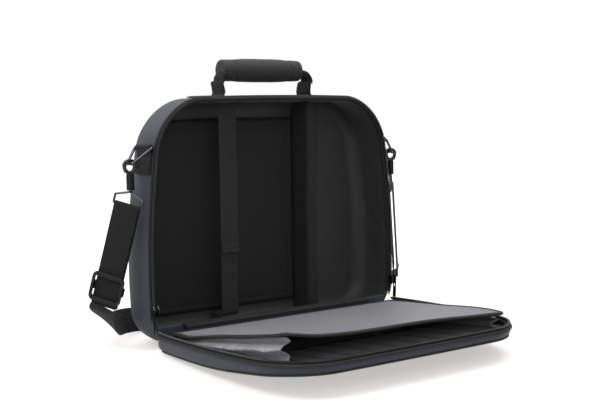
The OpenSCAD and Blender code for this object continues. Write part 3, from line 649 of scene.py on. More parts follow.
class Graph:
    """Short way to write a node tree: each call adds a node and joins its inputs."""

    def __init__(self, tree: bpy.types.NodeTree) -> None:
        self.tree = tree

    def node(self, kind: str, inputs: dict | None = None, **settings) -> bpy.types.Node:
        """Adds a node.

        Args:
            kind: Its type without "ShaderNode".
            inputs: Values or sockets, by the name or number of the input.
            settings: Settings of the node.
        """
        made = self.tree.nodes.new(kind if kind.startswith("Node") else "ShaderNode" + kind)
        for key, value in settings.items():
            setattr(made, key, value)
        for key, value in (inputs or {}).items():
            self.join(value, made.inputs[key])
        return made

    def join(self, value, socket) -> None:
        """Joins a socket, or sets a plain value."""
        if isinstance(value, bpy.types.NodeSocket):
            self.tree.links.new(value, socket)
        else:
            socket.default_value = value

    def math(self, operation: str, *values) -> bpy.types.NodeSocket:
        """Result of a math node."""
        return self.node("Math", dict(enumerate(values)), operation=operation).outputs[0]

    def add(self, a, b) -> bpy.types.NodeSocket:
        """Sum of two values or sockets."""
        return self.math("ADD", a, b)

    def sub(self, a, b) -> bpy.types.NodeSocket:
        """Difference of two values or sockets."""
        return self.math("SUBTRACT", a, b)

    def mul(self, a, b) -> bpy.types.NodeSocket:
        """Product of two values or sockets."""
        return self.math("MULTIPLY", a, b)


def node_group(name: str, inputs: dict, outputs: dict) -> tuple:
    """Starts a node group and returns it with its graph and its inner sockets.

    Args:
        name: Name of the group.
        inputs: Name to (socket type, default value or None).
        outputs: Name to socket type.

    Returns:
        The group, its graph, the sockets that bring values in and those that take them out.
    """
    tree = bpy.data.node_groups.new(name, "ShaderNodeTree")
    for label, (kind, default) in inputs.items():
        socket = tree.interface.new_socket(label, in_out="INPUT", socket_type="NodeSocket" + kind)
        if default is not None:
            socket.default_value = default
    for label, kind in outputs.items():
        tree.interface.new_socket(label, in_out="OUTPUT", socket_type="NodeSocket" + kind)
    graph = Graph(tree)
    return tree, graph, graph.node("NodeGroupInput").outputs, graph.node("NodeGroupOutput").inputs


class Looks:
    """Makes the materials. They share three node groups: cloth, mottle and grain.

    Attributes:
        BARREL: Distance from the ring's lower bar down to the top of the hook's barrel.
    """

    BARREL = 12.6

    def __init__(self) -> None:
        self.cloth = self._cloth()
        self.mottle = self._mottle()
        self.grain = self._grain()
        self.made: dict[str, Material] = {}

    @staticmethod
    def _cloth() -> bpy.types.NodeTree:
        """Height of woven threads from texture points in millimetres.

        A thread is a hump, the absolute sine to the power 1.4. Plain cloth shows warp and
        weft by turns in a checker of cells. Twill and ribs are slanting rows of humps.
        """
        tree, g, i, o = node_group(
            "Cloth",
            {"Pitch": ("Float", 0.8), "Plain": ("Float", 1.0), "Twill": ("Float", 0.0), "Rib": ("Float", 0.0),
             "Lean": ("Float", 0.2)},
            {"Height": "Float", "Yarn": "Float"},
        )
        place = g.node("TexCoord").outputs["UV"]
        uv = g.node("SeparateXYZ", {0: place}).outputs
        wander = g.node("TexNoise", {"Vector": place, "Scale": 0.35, "Detail": 2.0})
        drift = g.mul(g.sub(wander.outputs["Fac"], 0.5), 0.8)
        u = g.math("DIVIDE", g.add(uv[0], drift), i["Pitch"])
        v = g.math("DIVIDE", g.add(uv[1], drift), i["Pitch"])

        def hump(x) -> bpy.types.NodeSocket:
            """Height of one thread after another along x."""
            return g.math("POWER", g.math("ABSOLUTE", g.math("SINE", g.mul(x, math.pi))), 1.4)

        parity = g.math("FLOORED_MODULO", g.add(g.math("FLOOR", u), g.math("FLOOR", v)), 2.0)
        weft = g.sub(1.0, parity)
        plain = g.add(g.mul(hump(u), parity), g.mul(hump(v), weft))
        twill = hump(g.add(g.mul(u, 0.5), g.mul(v, 0.5)))
        upright = g.mul(v, g.sub(1.0, i["Lean"]))
        rib = hump(g.add(g.mul(u, i["Lean"]), upright))
        fine = g.mul(hump(g.mul(g.sub(u, v), 1.6)), 0.35)
        ribs = g.add(g.mul(rib, 0.75), g.mul(fine, rib))
        total = g.mul(plain, i["Plain"])
        total = g.add(total, g.mul(twill, i["Twill"]))
        total = g.add(total, g.mul(ribs, i["Rib"]))
        g.join(total, o["Height"])
        cell = g.node("CombineXYZ", {0: g.math("FLOOR", u), 1: g.math("FLOOR", v)}).outputs[0]
        g.join(g.node("TexWhiteNoise", {"Vector": cell}, noise_dimensions="2D").outputs["Value"], o["Yarn"])
        return tree

    @staticmethod
    def _mottle() -> bpy.types.NodeTree:
        """Slow changes of colour and roughness over the piece."""
        tree, g, i, o = node_group(
            "Mottle",
            {"Colour": ("Color", (0.1, 0.1, 0.1, 1)), "Rough": ("Float", 0.5),
             "Amount": ("Float", 0.2), "Yarn": ("Float", 0.5)},
            {"Colour": "Color", "Rough": "Float"},
        )
        place = g.node("TexCoord").outputs["Object"]
        big = g.node("TexNoise", {"Vector": place, "Scale": 9.0, "Detail": 4.0}).outputs["Fac"]
        small = g.node("TexNoise", {"Vector": place, "Scale": 70.0, "Detail": 5.0}).outputs["Fac"]
        mix = g.add(g.mul(big, 0.7), g.mul(small, 0.3))
        swing = g.mul(g.sub(mix, 0.5), g.mul(i["Amount"], 3.0))
        yarn = g.mul(g.sub(i["Yarn"], 0.5), g.mul(i["Amount"], 0.8))
        value = g.add(1.0, g.add(swing, yarn))
        hsv = g.node("HueSaturation", {"Color": i["Colour"], "Value": value}).outputs[0]
        g.join(hsv, o["Colour"])
        rough = g.add(i["Rough"], g.mul(swing, 0.35))
        g.join(g.node("Clamp", {"Value": rough, "Min": 0.04, "Max": 1.0}).outputs[0], o["Rough"])
        return tree

    @staticmethod
    def _grain() -> bpy.types.NodeTree:
        """Fine unevenness of moulded plastic and polished metal."""
        tree, g, i, o = node_group("Grain", {"Scale": ("Float", 900.0)}, {"Height": "Float"})
        place = g.node("TexCoord").outputs["Object"]
        fine = g.node("TexNoise", {"Vector": place, "Scale": i["Scale"], "Detail": 3.0}).outputs["Fac"]
        wave = g.node("TexNoise", {"Vector": place, "Scale": 60.0, "Detail": 2.0}).outputs["Fac"]
        g.join(g.add(g.mul(fine, 0.5), wave), o["Height"])
        return tree

    def __call__(self, key: str) -> Material:
        """The material of a finish, made at its first use."""
        if key not in self.made:
            self.made[key] = self._hook() if key == "hook" else self._material(key, FINISHES[key])
        return self.made[key]

    def _hook(self) -> Material:
        """Nickel eye over a ribbed black barrel, parted at the barrel's top."""
        black, bright = FINISHES["plastic"], FINISHES["steel"]
        material = self._material("hook", black)
        g = Graph(material.node_tree)
        skin = material.node_tree.nodes["Principled BSDF"]
        height = g.node("SeparateXYZ", {0: g.node("TexCoord").outputs["Object"]}).outputs[2]
        top = (STRAP.anchor_h - STRAP.ring_l * math.cos(math.radians(STRAP.swing)) - self.BARREL) * MM
        share = g.node("Clamp", {"Value": g.mul(g.sub(height, top), 2 / MM)}).outputs[0]
        tint = g.node("Mix", {"Factor": share}, data_type="RGBA")
        for socket in tint.inputs:
            if socket.type == "RGBA":
                socket.default_value = (*(black if socket.name == "A" else bright).colour, 1)
        g.join([o for o in tint.outputs if o.type == "RGBA"][0], skin.inputs["Base Color"])
        g.join(share, skin.inputs["Metallic"])
        g.join(g.sub(black.rough, g.mul(share, 0.1)), skin.inputs["Roughness"])
        return material

    def _material(self, key: str, f: Finish) -> Material:
        """Builds one material from its finish."""
        material = bpy.data.materials.new("case_" + key)
        material.use_nodes = True
        g = Graph(material.node_tree)
        skin = material.node_tree.nodes["Principled BSDF"]
        cloth = None
        if f.weave is not Weave.SMOOTH:
            kinds = (Weave.PLAIN, Weave.TWILL, Weave.RIBBED)
            shares = dict(zip(("Plain", "Twill", "Rib"), (float(f.weave is k) for k in kinds)))
            cloth = g.node("Group", node_tree=self.cloth)
            for label, value in {"Pitch": f.pitch, "Lean": f.lean, **shares}.items():
                cloth.inputs[label].default_value = value
        mottle = g.node("Group", node_tree=self.mottle)
        for label, value in {"Colour": (*f.colour, 1), "Rough": f.rough, "Amount": f.mottle}.items():
            mottle.inputs[label].default_value = value
        if cloth:
            g.join(cloth.outputs["Yarn"], mottle.inputs["Yarn"])
        g.join(mottle.outputs["Colour"], skin.inputs["Base Color"])
        g.join(mottle.outputs["Rough"], skin.inputs["Roughness"])
        plain = {
            "Metallic": f.metal,
            "Specular IOR Level": f.level,
            "Sheen Weight": f.sheen,
            "Sheen Roughness": 0.45,
            "Coat Weight": f.coat,
            "Coat Roughness": 0.25,
        }
        for label, value in plain.items():
            skin.inputs[label].default_value = value
        depth = f.depth if cloth else f.grain
        if depth:
            relief = (cloth or g.node("Group", node_tree=self.grain)).outputs["Height"]
            bump = g.node("Bump", {"Height": relief, "Strength": 0.9, "Distance": depth * MM})
            g.join(bump.outputs[0], skin.inputs["Normal"])
        return material


# ---------------------------------------------------------------- bookkeeping


class Kit:
    """Attaches finished pieces to their bodies or bakes their places, hides the CAD nodes that they stand for
    and keeps count of them.
    """

    def __init__(self, looks: Looks) -> None:
        self.looks = looks
        self.count = 0

    def fix(self, obj, finish: str, body: str, *nodes: str) -> Piece:
        """A piece that moves with one body and stands for some CAD nodes.

        Args:
            obj: The piece.
            finish: Name of its finish; not used.
            body: The CAD body that carries it.
            nodes: CAD nodes that it stands for.

        Returns:
            The piece.
        """
        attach(obj, body)
        return self._note(obj, nodes)

    def bend(self, obj, finish: str, bodies: tuple[str, str], start, end, *nodes: str) -> Piece:
        """A piece of cloth, with its place baked into its mesh.

        Args:
            obj: The piece.
            finish: Name of its finish; not used.
            bodies: The two CAD bodies; not used.
            start: Place up to which it follows the first body only, in millimetres; not used.
            end: Place from which it follows the second body only, in millimetres; not used.
            nodes: CAD nodes that it stands for.

        Returns:
            The piece.
        """
        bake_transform(obj)
        return self._note(obj, nodes)

    def _note(self, obj, nodes: tuple[str, ...]) -> Piece:
        """Hides the CAD nodes that a piece stands for and counts the piece."""
        if nodes:
            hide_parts(*nodes)
        self.count += 1
        return obj

    def dress(self, node: str, finish: str, bevel: float = 0.0) -> Piece:
        """Gives a hard CAD node its material and small rounded edges.

        Args:
            node: Name of the CAD node.
            finish: Name of its finish.
            bevel: Radius of the rounded edges, in millimetres.

        Returns:
            The node's object.
        """
        obj = frame["nodes"][node]
        obj.data.materials.clear()
        obj.data.materials.append(self.looks(finish))
        if bevel:
            mod = obj.modifiers.new("edges", "BEVEL")
            mod.width = bevel * MM
            mod.segments = 3
            mod.limit_method = "ANGLE"
            mod.angle_limit = math.radians(38)
            mod.harden_normals = True
        return obj


LOOKS = Looks()
KIT = Kit(LOOKS)


# ---------------------------------------------------------------- the tray


@dataclass(frozen=True)
class TraySize:
    """Sizes of what is inside the tray."""

    divider_x: float = 82.0
    divider_t: float = 22.0
    divider_back: float = 34.0
    pad_t: float = 8.0
    strap_w: float = 29.0
    strap_x: float = -66.0
    strap_t: float = 2.5
    strap_back: float = 42.0
    strap_end_h: float = 122.0
    overlap: float = 60.0


def rim_section(outer: float, inner: float, a: float, b: float) -> Array:
    """Section of a bound edge over a wall: two round rolls of cloth and a flat front.

    Args:
        outer: How far it swells outside the wall.
        inner: How far it swells inside.
        a: Depth of its front.
        b: Depth of its back.

    Returns:
        Points (outward, depth).
    """
    mid, half = (a + b) / 2, abs(b - a) / 2
    t = angles(-80, 80, 9)
    out = np.stack([0.4 + (outer - 0.4) * np.cos(t), mid + half * np.sin(t) * 0.98], 1)
    back = np.stack([-CASE.wall - 0.4 - (inner - 0.4) * np.cos(t), mid - half * np.sin(t) * 0.98], 1)
    return np.vstack([out, back])


class Rim:
    """What follows the wall's edge from one end of the hinge over the top to the other."""

    def __init__(self, half: str, place: Callable[[Array], Array], sign: float) -> None:
        """Keeps what differs between the two halves.

        Args:
            half: Name of the half, which is also its body.
            place: Function from (x, depth, z) to the row frame.
            sign: 1 for the tray, whose depths are positive, or -1 for the lid.
        """
        self.half, self.place, self.sign = half, place, sign

    def build(self) -> None:
        half = self.half
        KIT.fix(self.binding(), "binding", half, f"{half}_binding")
        KIT.fix(self.tape(), "tape", half, f"{half}_zip")
        KIT.fix(self.teeth(), "teeth", half)
        KIT.fix(self.seam(1.75, CASE.mouth - 1.3), "thread", half)

    TEETH_PITCH = 2.0

    @staticmethod
    def path(grow: float, step: float = 2.5) -> Array:
        """The rim's path, in the plane of the zip, with points at equal distances."""
        raw = OUT.over_top(OUT.ring(grow, max(0.0, -grow)), CASE.lid_d + CASE.leaf_t)
        return resample(raw, max(8, int(lengths(raw)[-1] / step)))

    @staticmethod
    def outward(path: Array) -> Array:
        """Direction away from the case at each point of the path."""
        d = tangents(path)
        return np.stack([d[:, 1], -d[:, 0]], 1)

    def points(self, path: Array, out: Array, section: Array) -> Array:
        """Grid of a section, whose points are (outward, depth), along the path."""
        x = path[:, None, 0] + out[:, None, 0] * section[None, :, 0]
        z = path[:, None, 1] + out[:, None, 1] * section[None, :, 0]
        y = self.sign * np.broadcast_to(section[None, :, 1], x.shape)
        return self.place(np.stack([x, y, z], -1))

    def binding(self) -> Piece:
        """The bound edge, puckered slightly at each stitch."""
        path = self.path(0)
        out = self.outward(path)
        grid = self.points(path, out, rim_section(1.9, 1.7, CASE.zip_reach, CASE.mouth))
        pull = 0.16 * np.sin(lengths(path) * 2 * np.pi / 3.3)[:, None, None]
        wave = 0.25 * ripple(grid, 38)[..., None]
        side = direction(self.place, np.concatenate([out, out * 0], 1)[:, [0, 2, 1]])
        grid = grid + (pull + wave) * side[:, None] * 0.5
        return tube(f"{self.half}_binding_cloth", grid, LOOKS("binding"), 60)

    def tape(self) -> Piece:
        """The zip's tape, from under the binding to the teeth."""
        path = self.path(-CASE.wall / 2, 4.0)
        lip = CASE.zip_part + 2.0
        section = np.array([[0.55, CASE.zip_reach], [0.5, lip + 0.8], [0.2, lip],
                            [-0.2, lip], [-0.5, lip + 0.8], [-0.55, CASE.zip_reach]])
        grid = self.points(path, self.outward(path), section)
        return tube(f"{self.half}_zip_tape", grid, LOOKS("tape"), 60)

    def teeth(self) -> Piece:
        """A row of coil teeth, each a short rounded bar across the tape: five rings of eight points."""
        path = self.path(-CASE.wall / 2, self.TEETH_PITCH)
        out = self.outward(path)
        along = tangents(path)
        a = np.radians(np.arange(8) * 45 + 22.5)
        deep, wide = CASE.zip_part + 1.15, 0.62
        rings = []
        for across, fat in ((-2.1, 0.45), (-1.7, 0.9), (0.0, 1.0), (1.7, 0.9), (2.1, 0.45)):
            lean = wide * 0.35 * across / 2.1
            t = lean + fat * wide * np.cos(a)
            d = deep + fat * 1.1 * np.sin(a) + 0.25
            x = path[:, None, 0] + out[:, None, 0] * across + along[:, None, 0] * t
            z = path[:, None, 1] + out[:, None, 1] * across + along[:, None, 1] * t
            rings.append(np.stack([x, self.sign * np.broadcast_to(d, x.shape), z], -1))
        grid = self.place(np.stack(rings, 1))
        verts = grid.reshape(-1, 3)
        base = grid_faces(5, 8, wrap=True) + [list(range(7, -1, -1)), list(range(32, 40))]
        faces = [[40 * k + i for i in f] for k in range(len(path)) for f in base]
        return mesh_object(f"{self.half}_zip_teeth", verts, faces, LOOKS("teeth"), None, 70)

    def seam(self, outward: float, depth: float) -> Piece:
        """A row of stitches along the rim, at a distance outside the wall and at a depth."""
        path = self.path(0, 3.0)
        out = self.outward(path)
        line = self.points(path, out, np.array([[outward, depth]]))[:, 0]
        away = self.points(path, out, np.array([[outward + 1, depth]]))[:, 0] - line
        return stitches(f"{self.half}_binding_stitches", [line], [away], 0.3, 3.3)


class Tray:
    """The deep half: moulded shell, lining, rim, pad, divider and strap."""

    def __init__(self, size: TraySize) -> None:
        self.s = size
        self.rim = Rim("tray", at_seam, 1.0)

    def build(self) -> None:
        """Makes every piece of the tray and fixes each to its body."""
        KIT.fix(self.shell(), "shell", "tray", "tray_shell")
        KIT.fix(self.lining(), "lining", "tray", "tray_lining")
        self.rim.build()
        pad = KIT.fix(self.pad(), "pad", "tray", "back_pad")
        wall = KIT.fix(self.divider(), "pad", "tray", "bay_divider")
        KIT.fix(self.strap_lower(), "strap", "tray", "strap_lower")
        KIT.fix(self.strap_upper(), "strap", "strap_top", "strap_upper")
        self.strap_stitches()

    @staticmethod
    def rings(inset: float, d_end: float, rounds: int = 12, walls: int = 16) -> list:
        """Rings of one face of the tray, from its moulded back edge along its wall to a depth.

        Args:
            inset: How far the face is inside the case.
            d_end: Depth of the last ring.
            rounds: Rings on the moulded edge.
            walls: Rings on the wall.

        Returns:
            The rings, each as (x, depth, z).
        """
        s = CASE
        r, start = s.back_r - inset, s.tray_d - s.back_r
        a = angles(0, 90, rounds)
        bend = np.stack([-inset - r * (1 - np.sin(a)), s.tray_d - inset - r * (1 - np.cos(a))], 1)
        wall = [[-inset, start + (d_end - start) * k / walls] for k in range(1, walls + 1)]
        return [OUT.tray_ring(g, d) for g, d in np.vstack([bend, wall])]

    def shell(self) -> Piece:
        """The moulded shell. Cloth over foam makes its outer face a little uneven."""
        s = CASE
        sill = s.mouth + s.wall
        outer = np.array(self.rings(0, s.mouth))
        n = ripple(outer, 46)[..., None] * 0.28
        centre = np.array([0, 0, s.height / 2])
        away = outer - centre
        away /= np.linalg.norm(away, axis=-1, keepdims=True)
        calm = smoothstep((outer[..., 2:] - 4) / 26) * smoothstep((outer[..., 1:2] - s.mouth) / 12)
        outer = outer - np.abs(n) * away * calm
        lips = []
        for d in (s.mouth, sill):
            lip = OUT.tray_ring(-s.wall, d)
            lip[:, 2] = np.maximum(lip[:, 2], s.hinge_h)
            lips.append(lip)
        inner = self.rings(s.wall, sill + 0.5)[::-1]
        return shell("tray_shell_cloth", at_seam(np.array([*outer, *lips, *inner])), LOOKS("shell"))

    def lining(self) -> Piece:
        """Satin lining, glued at the edge and loose enough to fold in the corners."""
        s = CASE
        front = s.mouth + s.wall + 0.5
        outer = self.rings(s.wall, front)
        inner = np.array(self.rings(s.lined, front)[::-1])
        x, d, z = inner[..., 0], inner[..., 1], inner[..., 2]
        middle = np.array([0, 0, s.height / 2])
        inward = middle - inner
        inward[..., 1] = 0
        inward /= np.maximum(np.linalg.norm(inward, axis=-1, keepdims=True), 1e-9)
        loose = smoothstep((d - front) / 14) * smoothstep((s.tray_d - s.lined - d) / 12)
        pleat = np.sin(z / 9 + 1.4 * np.sin(d / 17)) * np.sin(x / 13 + 0.6) ** 2
        folds = np.clip(0.8 * ripple(inner, 17, 1.0) + 0.6 * pleat, 0, None)
        inner = inner + (2.1 * folds * loose)[..., None] * inward
        return shell("tray_lining_cloth", at_seam(np.array([*outer, *inner])), LOOKS("lining"))

    def pad(self) -> Piece:
        """Foam pad on the back of the main bay, with a round edge and a sewn border."""
        s, t = CASE, self.s
        ring = OUT.tray(-s.back_r - 4)
        right = t.divider_x - t.divider_t / 2 - 0.1
        zs = np.linspace(ring[:, 1].min() + 0.4, ring[:, 1].max() - 0.6, 96)
        left_side = ring[ring[:, 0] < 0]
        left_side = left_side[np.argsort(left_side[:, 1])]
        lo = np.array([np.interp(z, left_side[:, 1], left_side[:, 0]) for z in zs])
        u = np.linspace(0, 1, 84)
        x = lo[:, None] + (right - lo[:, None]) * u[None]
        z = np.broadcast_to(zs[:, None], x.shape)
        edge = np.minimum.reduce([x - lo[:, None], right - x, z - zs[0], zs[-1] - z])
        border = 0.8 * np.exp(-(((edge - 12) / 1.3) ** 2))
        roundness = 1 - np.sqrt(np.clip(1 - (1 - np.clip(edge / 6, 0, 1)) ** 2, 0, 1))
        soft = 0.35 * (1 + ripple(level(x, z), 55, 2.0))
        y0 = s.tray_d - s.lined - t.pad_t
        front = at_seam(np.stack([x, y0 + 0.6 * soft + border + (t.pad_t - 1.5) * roundness, z], -1))
        back = at_seam(np.stack([x, np.full_like(x, s.tray_d - s.lined - 0.2), z], -1))
        return slab("back_pad_cloth", front, back, LOOKS("pad"), 60)

    def divider(self) -> Piece:
        """Padded wall with a round front edge, between the floor and the top of the tray."""
        s, t = CASE, self.s
        low, half = s.lined + 0.5, t.divider_t / 2
        r = s.back_r - s.lined
        top = s.height - s.crown * (0.14 + 1.0) + s.crown * (1 - ((t.divider_x + half) / s.half_w) ** 2)
        high = min(top, OUT.tray(0)[:, 1].max()) - low - 0.3
        zs = np.concatenate([[low], np.linspace(low + 0.8, high - 0.8, 88), [high]])
        rise = np.minimum(zs - low, high - zs)
        back = s.tray_d - low - r * (1 - np.sqrt(np.clip(1 - (1 - np.clip(rise / r, 0, 1)) ** 2, 0, 1)))
        a = angles(180, 360, 19)
        rows = []
        for z, b in zip(zs, back):
            nose = np.stack([half * np.cos(a), t.divider_back + half + 0.3 + half * np.sin(a)], 1)
            side_d = np.linspace(t.divider_back + half + 3, b, 7)
            dent = 0.5 * (1 + ripple(np.stack([side_d * 0, side_d, side_d * 0 + z], 1), 34, 3.0)) * 0.8
            right = np.stack([half - dent * (side_d < b - 0.5), side_d], 1)
            ring = np.vstack([nose, right, (right * [-1, 1])[::-1]])
            rows.append(np.column_stack([ring[:, 0] + t.divider_x, ring[:, 1], np.full(len(ring), z)]))
        return tube("bay_divider_cloth", at_seam(np.array(rows)), LOOKS("pad"), 60)

    def strap_lower(self) -> Piece:
        """Lower part of the retaining strap: off the pad, round a bend and up."""
        s, t = CASE, self.s
        front = s.tray_d - s.lined - t.pad_t
        low, bend, half = s.back_r, 6.0, t.strap_t / 2
        a = angles(0, 90, 9)
        r = bend - half
        top = t.overlap + t.strap_end_h
        arc = np.stack([t.strap_back + bend - r * np.sin(a), low + bend - r * np.cos(a)], 1)
        up = np.stack([np.full(30, t.strap_back + half), np.linspace(low + bend + 2, top, 30)], 1)
        back = np.linspace([front - 0.2, low + half], [t.strap_back + bend + 0.5, low + half], 8)
        yz = np.vstack([back, arc, up])
        path = np.column_stack([np.full(len(yz), t.strap_x), yz])
        path[:, 0] += 0.6 * smoothstep((path[:, 2] - 60) / 80)
        return ribbon("strap_lower_web", at_seam(path), ALONG_X, t.strap_w - 1.4, t.strap_t - 0.3,
                      LOOKS("strap"))

    def strap_upper(self) -> Piece:
        """Upper part, sewn at its top fold, with a turned-up tab at its lower end."""
        t = self.s
        y = t.strap_back - 0.1 - t.strap_t / 2
        peel_z = CASE.height - CASE.lined - 14
        zs = np.linspace(peel_z + 1.1, t.strap_end_h, 44)
        sway = 0.25 * np.sin(zs / 31)
        main = np.column_stack([np.full(44, t.strap_x) + sway, np.full(44, y), zs])
        a = angles(-80, 80, 7)
        turn = np.column_stack([np.full(7, main[-1, 0]), y - 1.25 - 1.1 * np.sin(a),
                                t.strap_end_h + 0.4 - 0.7 * np.cos(a)])
        up = np.column_stack([np.full(10, main[-1, 0]), np.full(10, y - 2.35),
                              np.linspace(t.strap_end_h + 1, t.strap_end_h + 14, 10)])
        path = at_seam(np.vstack([main, turn, up]))
        return ribbon("strap_upper_web", path, ALONG_X, t.strap_w, 2.1, LOOKS("strap"))

    def strap_stitches(self) -> None:
        """Box of stitches on the tab, with one diagonal."""
        t = self.s
        x0, x1 = t.strap_x - t.strap_w / 2 + 3, t.strap_x + t.strap_w / 2 - 3
        y = t.strap_back - 0.1 - t.strap_t / 2 - 3.45
        z0, z1 = t.strap_end_h + 2.6, t.strap_end_h + 11.5
        box = [[x0, y, z0], [x1, y, z0], [x1, y, z1], [x0, y, z1], [x0, y, z0]]
        cross = [[x0, y, z1], [x1, y, z0]]
        rows = [at_seam(np.array(box)), at_seam(np.array(cross))]
        tab = stitches("strap_tab_stitches", rows, [[0, -1, 0]] * 2, 0.28, 2.6)
        KIT.fix(tab, "thread", "strap_top")


# ---------------------------------------------------------------- the lid


@dataclass(frozen=True)
class PocketSize:
    """Sizes of the pockets on the lid's inner and outer face."""

    pleats: int = 8
    pleat_from: float = 175.0
    pleat_to: float = 285.0
    zip_h: float = 178.0
    zip_w: float = 1.4


class Lid:
    """The shallow half: shell, lining, rim, domed pocket outside and pleated one inside."""

    def __init__(self, size: PocketSize) -> None:
        self.s = size
        self.rim = Rim("lid", opened, -1.0)

    def build(self) -> None:
        """Makes every piece of the lid and fixes each to its body."""
        KIT.fix(self.shell(), "shell", "lid", "lid_shell")
        KIT.fix(self.lining(), "lining", "lid", "lid_lining")
        self.rim.build()
        KIT.fix(self.panel(), "panel", "lid", "front_pocket_panel")
        KIT.fix(self.panel_zip(), "teeth", "lid", "front_pocket_zip")
        pocket = KIT.fix(self.pleated(), "lining", "lid", "pleated_pocket")
        KIT.fix(self.pocket_hem(), "binding", "lid")

    @staticmethod
    def rings(inset: float, off: float) -> list:
        """Rings of the lid's wall and its round edge, an inset inside and off its face."""
        s = CASE
        edge_r = min(s.lid_r, s.lid_top_d - s.panel_t - s.mouth - 1)
        r = max(0.5, min(edge_r - inset, s.lid_top_d - off - s.mouth - 1))
        made = []
        for a in angles(0, 90, 8):
            p = OUT.lid(-inset - r * (1 - np.sin(a)))
            depth = OUT.lid_depth(p[:, 1]) - off - r * (1 - np.cos(a))
            made.append(np.column_stack([p[:, 0], -depth, p[:, 1]]))
        return made

    @staticmethod
    def edge(grow: float, depth: float) -> Array:
        """Ring at one depth, as (x, depth, z)."""
        p = OUT.lid(grow)
        return np.column_stack([p[:, 0], np.full(len(p), -depth), p[:, 1]])

    def shell(self) -> Piece:
        """The moulded shell."""
        s = CASE
        inner = self.rings(s.wall, s.panel_t + s.wall)
        outer = self.rings(0, s.panel_t)[::-1]
        lips = [self.edge(-s.wall, s.mouth), self.edge(0, s.mouth)]
        return shell("lid_shell_cloth", opened(np.array([*inner, *lips, *outer])), LOOKS("shell"))

    def lining(self) -> Piece:
        """The lining, with loose folds along its walls."""
        s = CASE
        off, lip = s.panel_t + s.wall, s.mouth + 0.2
        inner = np.array(self.rings(s.lined, off + s.lining_t))
        lips = [self.edge(-s.lined, lip), self.edge(-s.wall, lip)]
        outer = self.rings(s.wall, off)[::-1]
        folds = np.clip(ripple(inner, 15, 1.0), 0, None)
        inner[..., 1] += 0.9 * folds * smoothstep((-inner[..., 1] - lip) / 4)
        return shell("lid_lining_cloth", opened(np.array([*inner, *lips, *outer])), LOOKS("lining"))

    @staticmethod
    def panel_ring(inset: float, off: float) -> Array:
        """Ring of the pocket panel, off thirds of its thickness above the lid's face."""
        p = OUT.lid(-inset)
        return np.column_stack([p[:, 0], -(OUT.lid_depth(p[:, 1]) - off * CASE.panel_t / 3), p[:, 1]])

    def panel(self) -> Piece:
        """Pocket panel on the lid's face, domed, so that the open lid stands on it."""
        s = CASE
        inset = s.panel_in
        edge_r = min(s.lid_r, s.lid_top_d - s.panel_t - s.mouth - 1)
        made = [self.panel_ring(edge_r, 3), self.panel_ring(inset + 1, 2.6), self.panel_ring(inset, 2.2),
                self.panel_ring(inset, 1), self.panel_ring(inset + 0.6, 0.5),
                self.panel_ring(inset + 1.5, 0.25), self.panel_ring(inset + 5, 0)]
        low = made[-1]
        middle = s.lid_d + s.dome_v
        for k in (0.95, 0.9, 0.83, 0.75, 0.66, 0.58, 0.5, 0.42, 0.34, 0.26, 0.18, 0.1):
            z = middle + (low[:, 2] - middle) * k
            depth = OUT.lid_depth(z) + s.dome_h * (1 - k * k)
            made.append(np.column_stack([low[:, 0] * k, -depth, z]))
        return shell("front_pocket_cloth", opened(np.array(made)), LOOKS("panel"))

    def panel_zip(self) -> Piece:
        """Coil of the outer pocket's zip, in the slot round the panel."""
        s = CASE
        path = OUT.over_top(OUT.lid(-s.panel_in), s.lid_d + self.s.zip_h)
        path = resample(path, int(lengths(path)[-1] / 0.8))
        out = Rim.outward(path)
        deep = OUT.lid_depth(path[:, 1])
        a, b = 2.2 * s.panel_t / 3, s.panel_t / 3
        beat = 0.25 * np.abs(np.sin(lengths(path) * np.pi / 2.4))
        rows = []
        for across, d in ((self.s.zip_w, a), (self.s.zip_w, b), (0.0, b), (0.0, a)):
            reach = across - beat * (across > 0)
            x, z = (path + out * reach[:, None]).T
            rows.append(np.stack([x, d - deep, z], -1))
        return tube("front_pocket_coil", opened(np.stack(rows, 1)), LOOKS("teeth"), 40)

    def pleat_top(self, x: Array, v: Array) -> Array:
        """Height of the pleated pocket's cloth above the lid's lined floor."""
        t = self.s
        step = 2 * (CASE.half_w - CASE.top_r) / t.pleats
        phase = np.abs(((x / step) % 1) - 0.5)
        fold = smoothstep((phase - 0.16) / 0.09)
        hem = np.exp(-(((v - t.pleat_from) / 9) ** 2))
        gather = 0.25 * np.sin(x * 2 * np.pi / 5.2 + np.sin(x / 9)) * hem
        return 1.3 + 0.9 * fold + gather + 0.15 * ripple(level(x, v), 24)

    def pleated(self) -> Piece:
        """Pleated pocket on the lid's inner face."""
        t = self.s
        w = CASE.half_w - CASE.top_r
        x, v = np.meshgrid(np.linspace(-w, w, 241), np.linspace(t.pleat_from, t.pleat_to, 30))
        low = OUT.floor_z(v)
        top = sloped(np.stack([x, -v, low + self.pleat_top(x, v)], -1))
        under = sloped(np.stack([x, -v, low + 0.15], -1))
        return slab("pleated_pocket_cloth", top, under, LOOKS("lining"), 60)

    def pocket_hem(self) -> Piece:
        """Elastic in the pocket's hem, drawn into small gathers."""
        t = self.s
        w = CASE.half_w - CASE.top_r
        x = np.linspace(-w, w, 320)
        a = np.radians(np.arange(10) * 36)
        r = 1.5 * (0.86 + 0.14 * np.abs(np.sin(x * np.pi / 5.2 + np.sin(x / 9) / 2)))
        y = -t.pleat_from + r[:, None] * np.cos(a)
        z = OUT.floor_z(np.full_like(x, t.pleat_from))[:, None] + 1.6 + r[:, None] * np.sin(a)
        grid = sloped(np.stack([np.broadcast_to(x[:, None], y.shape), y, z], -1))
        return tube("pleated_pocket_hem", grid, LOOKS("binding"), 60)


